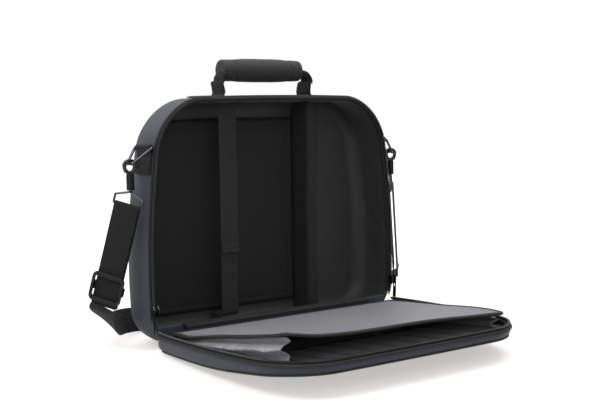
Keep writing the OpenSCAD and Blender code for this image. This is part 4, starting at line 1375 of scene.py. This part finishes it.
class Hinge:
    """Fabric hinge between the tray's sill and the lid's lip, in one strip that bends."""

    def build(self) -> None:
        """Makes the strip, which stands for both leaves."""
        s = CASE
        w = s.half_w - s.bottom_r
        t = s.leaf_t
        sill = [[s.mouth + s.wall, s.lid_d], [8.0, s.lid_d], [2.5, s.lid_d - 0.1], [0.8, s.lid_d - 0.3]]
        tray = at_seam(np.array([[0, y, z] for y, z in sill]))
        lid = opened(np.array([[0, y, s.lid_d] for y in (-1.4, -3.0, -7.0, -s.mouth)]))
        path = resample(spline(np.vstack([tray, lid]), 8), 40)
        x = np.linspace(-w, w, 90)
        along = tangents(path)
        up = np.cross([1.0, 0, 0], along)
        up *= np.sign(up[:, 2:3] + up[:, 1:2] * 0.01)
        line = path[:, None] + np.stack([x, x * 0, x * 0], -1)[None]
        sag = 0.12 * ripple(line, 20)[..., None]
        top = line + (t / 2 - 0.1 + sag) * up[:, None]
        under = line - (t / 2 - 0.1) * up[:, None]
        strip = slab("hinge_strip_cloth", top, under, LOOKS("binding"), 60)
        KIT.bend(strip, "binding", ("tray", "lid"), (0, s.seam_y + 1.5, s.lid_d),
                 (0, s.seam_y - 1.5, s.lid_d), "hinge_leaf_tray", "hinge_leaf_lid")


# ---------------------------------------------------------------- the file pocket


@dataclass(frozen=True)
class FlapSize:
    """Sizes of the file pocket's flap."""

    length: float = 280.0
    thick: float = 2.5
    gap: float = 13.0
    rest: float = 3.9
    hinge_v: float = 12.0
    corner: float = 14.0
    hem: float = 5.0
    gusset_t: float = 1.2

    @property
    def front(self) -> float:
        """Distance from the hinge to the free edge at the sides."""
        return self.length - 8

    @property
    def square(self) -> float:
        """Distance up to which the flap's sides run on."""
        return self.length - 24

    @property
    def hinge_z(self) -> float:
        """Height of the flap's hinge before the slope."""
        return CASE.lid_d - 6


class Flap:
    """Stiff fabric flap over the lid, with its binding, its hinge strip and two gussets.

    Attributes:
        BULGE: How far a gusset may stand outwards.
        DENT: How far it may go inwards past its fold.
        BOWED: Flat area in front of the flap's sides, in square metres.
    """

    BULGE = 17
    DENT = 9
    BOWED = 0.0017

    def __init__(self, size: FlapSize) -> None:
        self.s = size

    def build(self) -> None:
        """Makes every piece of the file pocket; the flap's own pieces are fixed to its body."""
        panel = KIT.fix(self.panel(), "flap", "flap", "file_flap")
        KIT.fix(self.binding(), "binding", "flap", "flap_binding")
        KIT.fix(self.hem_stitches(), "thread", "flap")
        self.leaf()
        for left in (False, True):
            self.gusset(left)

    def half_width(self, grow: float, s: Array) -> Array:
        """Half of the flap's width at a distance from its hinge."""
        t = self.s
        return OUT.side_x(grow - CASE.lined - t.gap, CASE.lid_d + t.hinge_v + s)

    def outline(self, grow: float, side_n: int = 60, corner_n: int = 12) -> Array:
        """Right side from the hinge, round the corner, the free edge, and back on the left.

        Args:
            grow: How far it is grown outwards.
            side_n: Points on each side.
            corner_n: Points on each corner.

        Returns:
            Points (x, distance from the hinge).
        """
        t = self.s
        w, r = float(self.half_width(grow, np.array(t.square))), t.corner + grow
        s = np.linspace(0, t.front - t.corner, side_n)
        side = np.stack([self.half_width(grow, s), s], 1)
        a = angles(4, 75, corner_n)
        turn = np.stack([w - r + r * np.cos(a), t.front + grow - r + r * np.sin(a)], 1)
        end = turn[-1]
        k = np.linspace(0.985, 0, 45)
        front = np.stack([end[0] * k, end[1] + (t.length + grow - end[1]) * (1 - k * k)], 1)
        half = np.vstack([side, turn, front])
        return np.vstack([half, (half * [-1, 1])[-2::-1]])

    def lift(self, x: Array, s: Array) -> Array:
        """How far the cloth stands off its own plane.

        It is the sum of a sag in the middle, waves along the sides, an uneven free edge, a
        left side that is raised above the right one, and that side's turned-down rim.

        Args:
            x: Distance from the middle.
            s: Distance from the hinge.

        Returns:
            Height at each place.
        """
        t = self.s
        w = self.half_width(0, s)
        u = x / w
        far = smoothstep(s / t.length)
        edge = smoothstep((np.abs(u) - 0.8) / 0.2)
        front = smoothstep((s - t.length + 40) / 40)
        sag = -2.2 * np.sin(np.pi * np.clip(s / t.length, 0, 1)) * (1 - u * u)
        wave = 1.1 * np.sin(s / 31 + 1.3 * np.sign(x)) * edge * far
        lip = 1.2 * np.sin(x / 47 + 0.8) * front + 0.5 * ripple(level(x, s), 60)
        raised = (2.6 - 6.0 * u) * far ** 0.8 + 8.0 * np.clip(-u, 0, 1) ** 6 * far ** 0.6
        curl = -5.0 * np.clip((-u - 0.84) / 0.16, 0, 1) ** 2 * smoothstep(s / 60) * (1 - 0.6 * front)
        return sag + wave + lip * far + raised + curl

    def at_flap(self, points: Array) -> Array:
        """Puts (x, distance from the hinge, height over the flap) in the row frame."""
        t = self.s
        a = math.radians(t.rest)
        x, s, h = points[..., 0], points[..., 1], points[..., 2]
        y = -t.hinge_v - s * math.cos(a) + h * math.sin(a)
        return sloped(np.stack([x, y, t.hinge_z + s * math.sin(a) + h * math.cos(a)], -1))

    def grid(self, rows: int, cols: int, grow: float = 0.0) -> tuple[Array, Array]:
        """Places (x, s) all over the flap, drawn out to its round corners."""
        t = self.s
        rim = self.outline(grow, 2, 24)[1:-1]
        far = resample(rim, cols)
        u = np.linspace(1, -1, cols)
        k = np.linspace(0, 1, rows)[:, None]
        s = k * far[None, :, 1]
        reach = t.front - t.corner
        root, tip = (self.half_width(grow, np.array(end)) for end in (0.0, reach))
        bulge = self.half_width(grow, k * reach) - (root * (1 - k) + tip * k)
        bulge = bulge * np.abs(u[None]) ** 6 * np.sign(u[None])
        return root * u[None] * (1 - k) + far[None, :, 0] * k + bulge, s

    def panel(self) -> Piece:
        """The stiffened cloth."""
        x, s = self.grid(110, 150, -0.4)
        lift = self.lift(x, s)
        half = self.s.thick / 2
        border = 0.35 * np.exp(-(((self.half_width(0, s) - np.abs(x) - 13) / 1.2) ** 2))
        top = self.at_flap(np.stack([x, s, lift + half - border], -1))
        under = self.at_flap(np.stack([x, s, lift - half], -1))
        return slab("file_flap_cloth", top, under, LOOKS("flap"), 60)

    def binding(self) -> Piece:
        """Folded tape over the flap's sides and free edge."""
        t = self.s
        rim = resample(self.outline(0), 420)
        along = tangents(rim)
        out = np.stack([along[:, 1], -along[:, 0]], 1)
        half = t.thick / 2 + 0.8
        upper = [(-t.hem, half - 0.35), (-t.hem + 0.5, half), (-1.5, half), (0.4, half * 0.8),
                 (1.1, half * 0.3)]
        section = upper + [(off, -h) for off, h in upper[::-1]]
        crimp = 0.16 * np.sin(lengths(rim) * 2 * np.pi / 4.1)
        lift = self.lift(rim[:, 0], rim[:, 1])
        rows = []
        for off, h in section:
            p = rim + out * off
            p[:, 1] = np.maximum(p[:, 1], 0)
            rows.append(np.column_stack([p, lift + h + crimp * np.sign(h) * (off < -0.5)]))
        return tube("file_flap_binding", self.at_flap(np.stack(rows, 1)), LOOKS("binding"), 60)

    def hem_stitches(self) -> Piece:
        """Row of stitches along the binding's inner edge."""
        t = self.s
        rim = resample(self.outline(-t.hem + 1.3), 320)
        lift = self.lift(rim[:, 0], rim[:, 1]) + t.thick / 2 + 0.85
        line = self.at_flap(np.column_stack([rim, lift]))
        return stitches("file_flap_stitches", [line], [direction(self.at_flap, [0, 0, 1])], 0.28, share=0.68)

    def leaf(self) -> None:
        """Strip of tape from the lid's wall to the flap, which bends at the flap's hinge."""
        t, c = self.s, CASE
        root = c.hinge_h + c.lined - c.lid_d + 0.45
        half = float(self.half_width(0, np.array(0.0))) - 10
        a = math.radians(t.rest)
        ends = np.array([[root + 0.5, c.lid_d - 20.0], [root + 0.5, c.lid_d - 12.5],
                         [root + 2.6, c.lid_d - 8.4],
                         [t.hinge_v - 1.4, t.hinge_z + 0.9], [t.hinge_v + 3 * math.cos(a), t.hinge_z + 1.6],
                         [t.hinge_v + 8, t.hinge_z + 1.65 + 8 * math.sin(a)]])
        path = resample(spline(ends, 8), 30)
        x = np.linspace(-half, half, 80)
        line = np.stack([np.broadcast_to(x, (30, 80)), np.broadcast_to(-path[:, :1], (30, 80)),
                         np.broadcast_to(path[:, 1:], (30, 80))], -1)
        d = tangents(path)
        up = np.stack([d[:, 0] * 0, d[:, 1], d[:, 0]], 1)[:, None]
        wave = 0.2 * ripple(line, 18)[..., None]
        top, under = line + (0.55 + wave) * up, line - 0.35 * up
        strip = slab("file_flap_leaf", sloped(top), sloped(under), LOOKS("binding"), 60)
        pivot = self.at_flap(np.array([0.0, 0, 0]))
        KIT.bend(strip, "binding", ("lid", "flap"), pivot + [0, 2.5, 0], pivot - [0, 2.5, 0], "flap_leaf")

    def gusset(self, left: bool) -> None:
        """Side of the pocket: cloth folded once inwards and crumpled, from lid to flap."""
        t = self.s
        rows, cols = 150, 34
        s = np.linspace(6, t.front - t.corner, rows)
        a = math.radians(t.rest)
        x = self.half_width(0, s) - t.hem - 3
        v = t.hinge_v + s * math.cos(a)
        low = OUT.floor_z(v) + 0.6
        high = t.hinge_z + s * math.sin(a) - (t.thick / 2 + 1.3) / math.cos(a)
        sign = -1 if left else 1
        high = high + self.lift(sign * x, s)
        fold = 4 + 8 * s / t.length
        k = np.linspace(0, 1, cols)
        ridge = np.exp(-(((k - 0.62) / 0.24) ** 2))[None] * np.clip((1 - k) / 0.25, 0, 1)
        tuck = np.exp(-(((k - 0.88) / 0.09) ** 2))[None]
        turned = 9 * smoothstep((s - t.front + t.corner + 16) / 16)[:, None] * np.sin(np.pi * k)[None]
        inward = fold[:, None] * (0.5 * tuck - 1.35 * ridge) + turned
        place = np.stack(np.broadcast_arrays(s[:, None], 40 * k[None], 60.0 if left else 0.0), -1)
        free = np.sin(np.pi * k)[None] * smoothstep((s[:, None] - 10) / 90)
        crumple = 2.6 * ripple(place, 26, 1.0) + 1.5 * ripple(place, 12, 2.0)
        crumple += 1.6 * np.abs(ripple(place, 19, 4.0)) * smoothstep((s[:, None] - 150) / 80)
        crumple += 2.2 * np.abs(ripple(place * [1, 2.2, 1], 9, 6.0)) - 1.0 * np.abs(ripple(place, 5.5, 3.0))
        inward = np.clip(inward + crumple * free, -self.BULGE, fold[:, None] + self.DENT)
        z = low[:, None] + (high - low)[:, None] * (k[None] + 0.05 * np.sin(2 * np.pi * k)[None])
        y = np.broadcast_to(-v[:, None], z.shape)
        outer, inner = (np.stack([sign * (x[:, None] - inward - deep), y, z], -1) for deep in (0, t.gusset_t))
        side = "left" if left else "right"
        cloth = slab(f"gusset_cloth_{side}", sloped(outer), sloped(inner), LOOKS("gusset"), 60)
        far = self.at_flap(np.array([0.0, t.front, 0]))
        end = t.hinge_v + t.front
        foot = sloped(np.array([0.0, -end, float(OUT.floor_z(np.array(end)))]))
        mid = (far + foot) / 2
        turn = math.radians(CASE.lid_rest + t.rest / 2 + 1)
        n = np.array([0, math.sin(turn), math.cos(turn)]) * 16
        KIT.bend(cloth, "gusset", ("lid", "flap"), mid - n, mid + n, f"gusset_{side}")


# ---------------------------------------------------------------- the handle


@dataclass(frozen=True)
class HandleSize:
    """Sizes of the handle."""

    height: float = 39.0
    grip_l: float = 136.0
    grip_d: float = 35.0
    from_zip: float = 50.0
    leg_t: float = 4.0
    patch_t: float = 2.0
    width: float = 38.0


class Handle:
    """Padded grip on two webbing legs that are sewn down on patches.

    Attributes:
        SHIFT: How far the grip has slid along X on its webbing.
    """

    SHIFT = -3.5

    def __init__(self, size: HandleSize) -> None:
        self.s = size
        self.leg_x = size.grip_l / 2 + 4
        self.grip_z = self.top_z(self.leg_x) + size.height
        self.tip_z = self.top_z(self.leg_x) + size.patch_t + 0.5 + size.width / 2

    def build(self) -> None:
        grip = KIT.fix(self.grip(), "grip", "handle", "handle_grip")
        KIT.fix(self.grip_seams(), "thread", "handle")
        for left in (False, True):
            self.leg(left)

    @staticmethod
    def top_z(x: float) -> float:
        """Height of the case's top edge at a distance from its middle."""
        s = CASE
        h = s.height - s.crown
        p = x / float(OUT.taper(h))
        return h + s.crown * (1 - (p / s.half_w) ** 2) * h / s.height

    def grip(self) -> Piece:
        """The padded sleeve, drawn in by a seam near each end, with one seam below."""
        t = self.s
        l, r = t.grip_l / 2, t.grip_d / 2
        end = r - 2
        half = np.array([[l - 50, r], [l - 34, r - 0.4], [l - 24, end + 0.8], [l - 21.6, end + 0.35],
                         [l - 20.5, end - 0.8], [l - 19.4, end - 0.1], [l - 17, end + 0.6],
                         [l - 10, end + 0.5],
                         [l - 3, end], [l - 0.8, end - 1], [l, end - 3]])
        curve = spline(half, 6)
        x = np.concatenate([np.linspace(0, l - 50, 16)[:-1], curve[:, 0]])
        rad = np.concatenate([np.full(15, r), curve[:, 1]])
        x, rad = np.concatenate([-x[:0:-1], x]), np.concatenate([rad[:0:-1], rad])
        a = np.radians(np.linspace(0, 360, 64, endpoint=False))
        xs, al = np.meshgrid(x, a, indexing="ij")
        place = np.stack([xs, 30 * np.cos(al), 30 * np.sin(al)], -1)
        calm = smoothstep((l - np.abs(xs)) / 10)
        wrinkle = 0.45 * np.clip(ripple(place, 17, 2.0), -1, 1) * calm
        pull = 0.5 * np.cos(9 * al + 1.2) * np.exp(-((np.abs(xs) - l + 20.5) / 5.5) ** 2)
        under = 1.3 * np.exp(-((np.angle(np.exp(1j * (al + math.pi / 2))) / 0.09) ** 2))
        radius = rad[:, None] - np.abs(wrinkle) - np.abs(pull) * 0.6 - under
        y, z = t.from_zip + radius * np.cos(al), self.grip_z + radius * np.sin(al)
        grid = np.stack([xs + self.SHIFT, y, z], -1)
        mids = grid.mean(1, keepdims=True)
        left = [mids[0] + (grid[0] - mids[0]) * f for f in (0.08, 0.45, 0.8)]
        right = [mids[-1] + (grid[-1] - mids[-1]) * f for f in (0.8, 0.45, 0.08)]
        return tube("handle_grip_sleeve", at_seam(np.concatenate([left, grid, right])), LOOKS("grip"), 60)

    def grip_seams(self) -> Piece:
        """Stitches beside the two drawn-in seams."""
        t = self.s
        l, r = t.grip_l / 2, t.grip_d / 2 - 1.55
        a = angles(-80, 260, 90)
        rows, ups = [], []
        for x in (-(l - 17.6), l - 17.6, -(l - 23.2), l - 23.2):
            away = np.stack([a * 0, np.cos(a), np.sin(a)], 1)
            rows.append(at_seam(np.array([x + self.SHIFT, t.from_zip, self.grip_z]) + away * r))
            ups.append(away)
        return stitches("handle_grip_stitches", rows, ups, 0.3)

    def leg(self, left: bool) -> None:
        """One strip: out of the grip, bowed outwards, down, and flat on its patch."""
        t = self.s
        sign = -1 if left else 1
        x0, z0 = t.grip_l / 2 + 0.3 - sign * self.SHIFT, self.grip_z
        foot = self.tip_z - t.width / 2
        pts = [[x0 - 3, z0, 23.5], [x0 + 1.5, z0 - 0.2, 24], [x0 + 4.6, z0 - 1.6, 25], [x0 + 7.2, z0 - 5, 27],
               [x0 + 9.5, z0 - 10, 29], [x0 + 9.5, z0 - 17, 32.5], [self.leg_x + 4.5, self.tip_z, 36.5],
               [self.leg_x + 2, foot + 7, 38], [self.leg_x + 2.4, foot + 2.4, 38]]
        for x in (6.0, 14.0, 24.0, 34.0, 44.0):
            pts.append([self.leg_x + x, self.top_z(self.leg_x + x) + 1.35, 38])
        path = resample(spline(np.array(pts), 10), 96)
        centre = np.column_stack([path[:, 0], np.full(len(path), t.from_zip), path[:, 1]])
        thick = np.where(lengths(centre) < 62, t.leg_t - 0.4, 2.3)
        thick = np.convolve(np.pad(thick, 5, mode="edge"), np.ones(11) / 11, "valid")
        along = tangents(centre)
        out = np.cross([0.0, 1, 0], along)
        out *= np.sign(out[:1, 0] + out[:1, 2] + 1e-9)
        curl = 3.4 * np.clip(1 - (path[:, 2] - 23.5) / 13, 0, 1)
        v = np.linspace(-1, 1, 22)
        bend = -(v[None] ** 2) * curl[:, None]
        edge = np.sqrt(np.clip(1 - np.abs(v) ** 12, 0.12, 1))
        width = centre[:, None, :] + np.array([0, 1.0, 0]) * (v[None] * path[:, 2:3] / 2)[..., None]
        mid = width + bend[..., None] * out[:, None]
        half = (thick[:, None] / 2 * edge[None])[..., None]
        face, under = mid + half * out[:, None], mid - half * out[:, None]
        grid = np.concatenate([face, under[:, ::-1]], 1)
        grid[..., 0] *= sign
        side = "left" if left else "right"
        web = tube(f"handle_webbing_{side}", at_seam(grid), LOOKS("webbing"), 50)
        nodes = ("handle_webbing", "handle_anchors") if left else ()
        low = (sign * self.leg_x, CASE.seam_y + t.from_zip, foot + 0.5)
        high = (sign * self.leg_x, CASE.seam_y + t.from_zip, foot + 32)
        KIT.bend(web, "webbing", ("tray", "handle"), low, high, *nodes)
        self.patch_stitches(side, sign)

    def patch_stitches(self, side: str, sign: int) -> None:
        """Box of stitches with a cross on each patch."""
        t = self.s
        x = np.linspace(self.leg_x + 15, self.leg_x + 41, 8)
        z = np.array([self.top_z(k) for k in x]) + 2.45
        a, b = t.from_zip - 15.5, t.from_zip + 15.5
        rows = [np.column_stack([x, np.linspace(p, q, 8), z]) for p, q in ((a, a), (b, b), (a, b), (b, a))]
        rows += [np.array([[x[k], a, z[k]], [x[k], b, z[k]]]) for k in (0, -1)]
        rows = [at_seam(row * [sign, 1, 1]) for row in rows]
        seam = stitches(f"handle_patch_stitches_{side}", rows, [[0, 0, 1.0]] * 6, 0.34)
        KIT.fix(seam, "thread", "tray")


# ---------------------------------------------------------------- shoulder strap


class StrapEnd:
    """One end of the shoulder strap: loop of webbing on the wall, wires, hook and webbing.

    Attributes:
        NECK_Z: Height of the hook's swivel, measured from the ring's lower bar.
        LAYER: Distance of each layer of doubled webbing from its middle.
        RUN_END: Length of the doubled webbing.
    """

    NECK_Z = -38.1
    LAYER = 3.0
    RUN_END = 144.0

    def __init__(self, size: StrapSize, left: bool) -> None:
        self.s = size
        self.left = left
        self.side = "left" if left else "right"
        y, z = size.anchor_y, size.anchor_h
        low = np.array([z - 18.0])
        slope = (OUT.wall_x(y + 1, low) - OUT.wall_x(y - 1, low))[0] / 2
        self.turn = -math.degrees(math.atan(slope))
        loop_out = size.ring_d / 2 + 0.4 + size.thick
        self.bar = np.array([OUT.wall_x(y, np.array([z]))[0] + 0.5 + loop_out, y, z])
        a = math.radians(size.swing)
        self.hook = np.array([size.ring_l * math.sin(a), 0, -size.ring_l * math.cos(a)])
        self.tilt = rot("z", -size.turn - self.turn) @ rot("y", -2) @ rot("x", size.lean)

    def build(self) -> None:
        """Makes the cloth pieces and gives the metal and plastic ones their finishes."""
        body = f"strap_end_{self.side}"
        KIT.fix(self.anchor(), "webbing", "tray", f"ring_anchor_{self.side}")
        KIT.fix(self.anchor_stitches(), "thread", "tray")
        KIT.fix(self.doubled(), "webbing", body, f"webbing_{self.side}")
        KIT.dress(f"ring_{self.side}", "steel")
        KIT.dress(f"wire_loop_{self.side}", "steel")
        KIT.dress(f"hook_gate_{self.side}", "steel", 0.35)
        KIT.dress(f"snap_hook_{self.side}", "hook", 0.4)
        self.floor_run()

    def at_bar(self, points: Array) -> Array:
        """Puts points of the bar's frame in the row frame."""
        p = points @ rot("z", self.turn).T + self.bar
        return at_seam(p * [-1, 1, 1] if self.left else p)

    def at_loop(self, points: Array) -> Array:
        """Puts points of the wire loop's frame in the row frame."""
        return self.at_bar(points @ self.tilt.T + self.hook + [0, 0, self.NECK_Z])

    def anchor_path(self) -> Array:
        """Route of the webbing: up the wall, over the ring's bar and down again."""
        def wall(z: float) -> float:
            """Place of the wall's face at a height over the bar, in the bar's frame."""
            return OUT.wall_x(self.s.anchor_y, np.array([self.s.anchor_h + z]))[0] + 0.2 - self.bar[0]

        r = self.s.ring_d / 2 + 0.4 + self.s.thick / 2
        back = [[wall(z) + 0.55, z] for z in (-37.5, -30, -24, -18, -12, -7)]
        arc = [[r * math.cos(a), r * math.sin(a)] for a in angles(180, -58, 15)]
        front = [[wall(z) + 1.65, z] for z in (-12, -18, -24, -30, -37.5)]
        xz = resample(np.array([*back, *arc, [wall(-8) + 2.9, -7.4], *front]), 90)
        return np.column_stack([xz[:, 0], np.zeros(len(xz)), xz[:, 1]])

    def anchor(self) -> Piece:
        """Webbing that holds the ring."""
        path = self.at_bar(self.anchor_path())
        across = direction(self.at_bar, [0, 1, 0])
        return ribbon(f"ring_anchor_web_{self.side}", path, across, self.s.width - 0.2, 1.15,
                      LOOKS("webbing"))

    def anchor_stitches(self) -> Piece:
        """Box and cross of stitches under the ring."""
        x = float(self.anchor_path()[-1, 0]) + 0.75
        x1 = float(self.anchor_path()[-24, 0]) + 0.75
        a, b, c, d = -15.0, 15.0, -34.5, -16.0
        corners = np.array([[x1, a, d], [x1, b, d], [x, b, c], [x, a, c], [x1, a, d]])
        cross = [np.array([[x1, a, d], [x, b, c]]), np.array([[x1, b, d], [x, a, c]])]
        rows = [self.at_bar(row) for row in (corners, *cross)]
        out = direction(self.at_bar, [1, 0, 0])
        return stitches(f"ring_anchor_stitches_{self.side}", rows, [out] * 3, 0.36)

    def doubled(self) -> Piece:
        """Webbing doubled round the wire loop's lower bar."""
        s = self.s
        z = np.linspace(-self.RUN_END, 0, 70)
        a = angles(170, 10, 13)
        back = np.stack([np.full(70, -self.LAYER), z], 1)
        arc = np.stack([self.LAYER * np.cos(a), self.LAYER * np.sin(a)], 1)
        front = (back * [-1, 1])[::-1]
        xz = np.vstack([back, arc, front])
        path = np.column_stack([xz[:, 0], xz[:, 0] * 0, xz[:, 1] + s.loop_low])
        across = direction(self.at_loop, [0, 1, 0])
        return ribbon(f"webbing_doubled_{self.side}", self.at_loop(path), across, s.width - 0.3, s.thick,
                      LOOKS("webbing"))

    def route(self) -> tuple[Array, Array]:
        """Half of the webbing's way behind the case.

        Returns:
            Stations of the way and the direction of its width at each.
        """
        s, c = self.s, CASE
        turn = rot("z", -s.turn) @ rot("y", -2) @ rot("x", s.lean)
        loop = self.bar + rot("z", self.turn) @ (self.hook + [0, 0, self.NECK_Z])
        way, width = turn @ [0, 0, -1], turn @ [0, 1, 0]
        start = loop + turn @ [self.LAYER, 0, s.loop_low - self.RUN_END - 0.3]
        flat = s.thick / 2 + 0.1
        back = c.tray_d + s.width / 2 + 8
        x, y = start[:2]
        stations = [start, start + 9 * way + (-1, 3, 0), (x - 17, y + 28, 33), (x - 40, y + 58, 23),
                    (x - 64, y + 80, 20), (x - 90, y + 86, 18), (x - 125, y + 84, 10),
                    (c.half_w * 0.5, back + 9, flat), (c.half_w * 0.25, back + 12, flat),
                    (-c.half_w * 0.25, back + 12, flat)]
        widths = [width, width, (0.45, 0.62, 0.6), (0.3, 0.38, 0.86), (0.12, 0.35, 0.92), (0.05, 0.5, 0.85),
                  (0.03, 0.8, 0.6), (0.05, 1, 0), (0, 1, 0), (0, 1, 0)]
        return np.array(stations, float), np.array(widths, float)

    def floor_run(self) -> None:
        """Half of the webbing that lies behind the case; it bends where it leaves the floor."""
        stations, widths = self.route()
        steps = 14
        path, ways = (spline(way, steps)[: -steps // 2] for way in (stations, widths))
        path[-1, 0] = 0.0
        path[:, 2] = np.maximum(path[:, 2], np.abs(ways[:, 2]) * self.s.width / 2 + 1.0)
        sign = -1 if self.left else 1
        path, ways = path * [sign, 1, 1], ways * [sign, 1, 1]
        name = f"webbing_floor_{self.side}"
        web = ribbon(name, at_seam(path), ways, self.s.width - 0.3, self.s.thick, LOOKS("webbing_low"))
        nodes = ("webbing_floor",) if self.left else ()
        place = at_seam(path)[0]
        KIT.bend(web, "webbing", ("tray", f"strap_end_{self.side}"), (place[0], place[1], 12),
                 (place[0], place[1], 62), *nodes)


# ---------------------------------------------------------------- stage and camera


@dataclass(frozen=True)
class Shot:
    """Camera of the main view, in metres and degrees; its lens is in millimetres."""

    place: tuple[float, float, float] = (-0.7546, -1.2418, 0.3312)
    down: float = 5.68
    roll: float = -0.8
    heading: float = -33.32
    lens: float = 57.98


# Half of the floor's side, in metres.
FLOOR_REACH = 30.0
# Name, place and aim in metres, side of the lamp in metres, power in watts.
LAMPS = (
    ("key", (-1.7, 0.3, 2.1), (-0.1, -0.1, 0.2), 1.2, 42),
    ("front", (-0.4, -2.4, 1.2), (0, -0.1, 0.15), 1.4, 16),
    ("side", (-2.2, -0.9, 0.6), (-0.15, -0.2, 0.1), 0.8, 14),
    ("top", (0.5, -0.5, 2.4), (0, -0.2, 0.1), 1.3, 34),
)


def dress_hard_parts() -> None:
    """Finishes of the zip sliders, their pulls and the strap's slider."""
    for side in ("left", "right"):
        KIT.dress(f"zip_slider_{side}", "zip_metal", 0.4)
        KIT.dress(f"zip_pull_{side}", "zip_metal", 0.35)
    KIT.dress("strap_slider", "plastic", 0.7)


def floor() -> None:
    """Pale floor that keeps the shadow and fades to white under plain light."""
    material = bpy.data.materials.new("floor_paper")
    material.use_nodes = True
    g = Graph(material.node_tree)
    skin = material.node_tree.nodes["Principled BSDF"]
    skin.inputs["Base Color"].default_value = (0.5, 0.49, 0.48, 1)
    skin.inputs["Emission Color"].default_value = (1, 0.985, 0.97, 1)
    # Only the camera sees the glow. It grows from 0.45 m outwards to meet the white beyond.
    seen = g.node("LightPath").outputs["Is Camera Ray"]
    place = g.node("TexCoord").outputs["Object"]
    away = g.node("VectorMath", {0: place}, operation="LENGTH").outputs["Value"]
    glow = g.mul(g.sub(away, 0.45), 0.7)
    glow = g.node("Clamp", {"Value": glow, "Min": 0.0, "Max": 0.4}).outputs[0]
    g.join(g.mul(seen, g.add(glow, 0.49)), skin.inputs["Emission Strength"])
    skin.inputs["Roughness"].default_value = 0.9
    skin.inputs["Specular IOR Level"].default_value = 0.1
    grain = g.node("TexNoise", {"Vector": place, "Scale": 300.0}).outputs["Fac"]
    g.join(g.node("Bump", {"Height": grain, "Strength": 0.05, "Distance": 0.0001}).outputs[0],
           skin.inputs["Normal"])
    mesh = bpy.data.meshes.new("floor")
    corners = [(x * FLOOR_REACH, y * FLOOR_REACH, 0) for x, y in ((-1, -1), (1, -1), (1, 1), (-1, 1))]
    mesh.from_pydata(corners, [], [(0, 1, 2, 3)])
    mesh.materials.append(material)
    obj = bpy.data.objects.new("floor", mesh)
    obj.location.z = -0.2 * MM
    bpy.context.scene.collection.objects.link(obj)


def world() -> None:
    """White behind the object, and plain light from all round."""
    sky = bpy.data.worlds.new("studio")
    bpy.context.scene.world = sky
    sky.use_nodes = True
    g = Graph(sky.node_tree)
    tree = sky.node_tree
    back = tree.nodes["Background"]
    back.inputs["Color"].default_value = (1, 1, 1, 1)
    ray = g.node("LightPath")
    seen = g.math("MAXIMUM", ray.outputs["Is Camera Ray"], ray.outputs["Is Transmission Ray"])
    height = g.node("SeparateXYZ", {0: g.node("TexCoord").outputs["Generated"]}).outputs[2]
    rise = g.node("Clamp", {"Value": g.mul(g.add(height, 0.1), 0.9)}).outputs[0]
    light = g.add(0.3, g.mul(rise, 0.75))
    hidden = g.sub(1.0, seen)
    g.join(g.add(seen, g.mul(light, hidden)), back.inputs["Strength"])


def lamp(name: str, place: tuple, aim: tuple, size: float, watts: float) -> None:
    """Adds a square soft lamp.

    Args:
        name: Name of the lamp.
        place: Where it stands, in metres.
        aim: Point it looks at.
        size: Length of its side, in metres.
        watts: Its power.
    """
    light = bpy.data.lights.new(name, "AREA")
    light.shape = "SQUARE"
    light.size = size
    light.energy = watts
    obj = bpy.data.objects.new(name, light)
    obj.location = place
    obj.rotation_euler = (Vector(aim) - Vector(place)).to_track_quat("-Z", "Y").to_euler()
    bpy.context.scene.collection.objects.link(obj)


def camera(shot: Shot) -> None:
    """Camera of the main view."""
    data = bpy.data.cameras.new("camera")
    data.lens = shot.lens
    data.sensor_width = 36.0
    data.clip_end = 100.0
    obj = bpy.data.objects.new("camera", data)
    obj.location = shot.place
    turn = Matrix.Rotation(math.radians(shot.heading), 4, "Z")
    tip = Matrix.Rotation(math.radians(90 - shot.down), 4, "X")
    lean = Matrix.Rotation(math.radians(shot.roll), 4, "Z")
    obj.rotation_euler = (turn @ tip @ lean).to_euler()
    bpy.context.scene.collection.objects.link(obj)
    bpy.context.scene.camera = obj


def stage() -> None:
    """Floor, world, lamps and camera."""
    scene = bpy.context.scene
    scene.view_settings.view_transform = "Standard"
    floor()
    world()
    for row in LAMPS:
        lamp(*row)
    camera(Shot())


def main() -> None:
    logging.basicConfig(level=logging.INFO, format="%(message)s")
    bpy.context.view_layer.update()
    steps = (
        ("stage", stage),
        ("tray", Tray(TraySize()).build),
        ("lid", Lid(PocketSize()).build),
        ("hinge", Hinge().build),
        ("flap", Flap(FlapSize()).build),
        ("handle", Handle(HandleSize()).build),
        ("strap left", StrapEnd(STRAP, True).build),
        ("strap right", StrapEnd(STRAP, False).build),
        ("hard parts", dress_hard_parts),
    )
    for name, step in steps:
        step()
        LOG.info("%s done, %d pieces so far", name, KIT.count)
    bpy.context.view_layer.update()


if __name__ == "__main__":
    main()
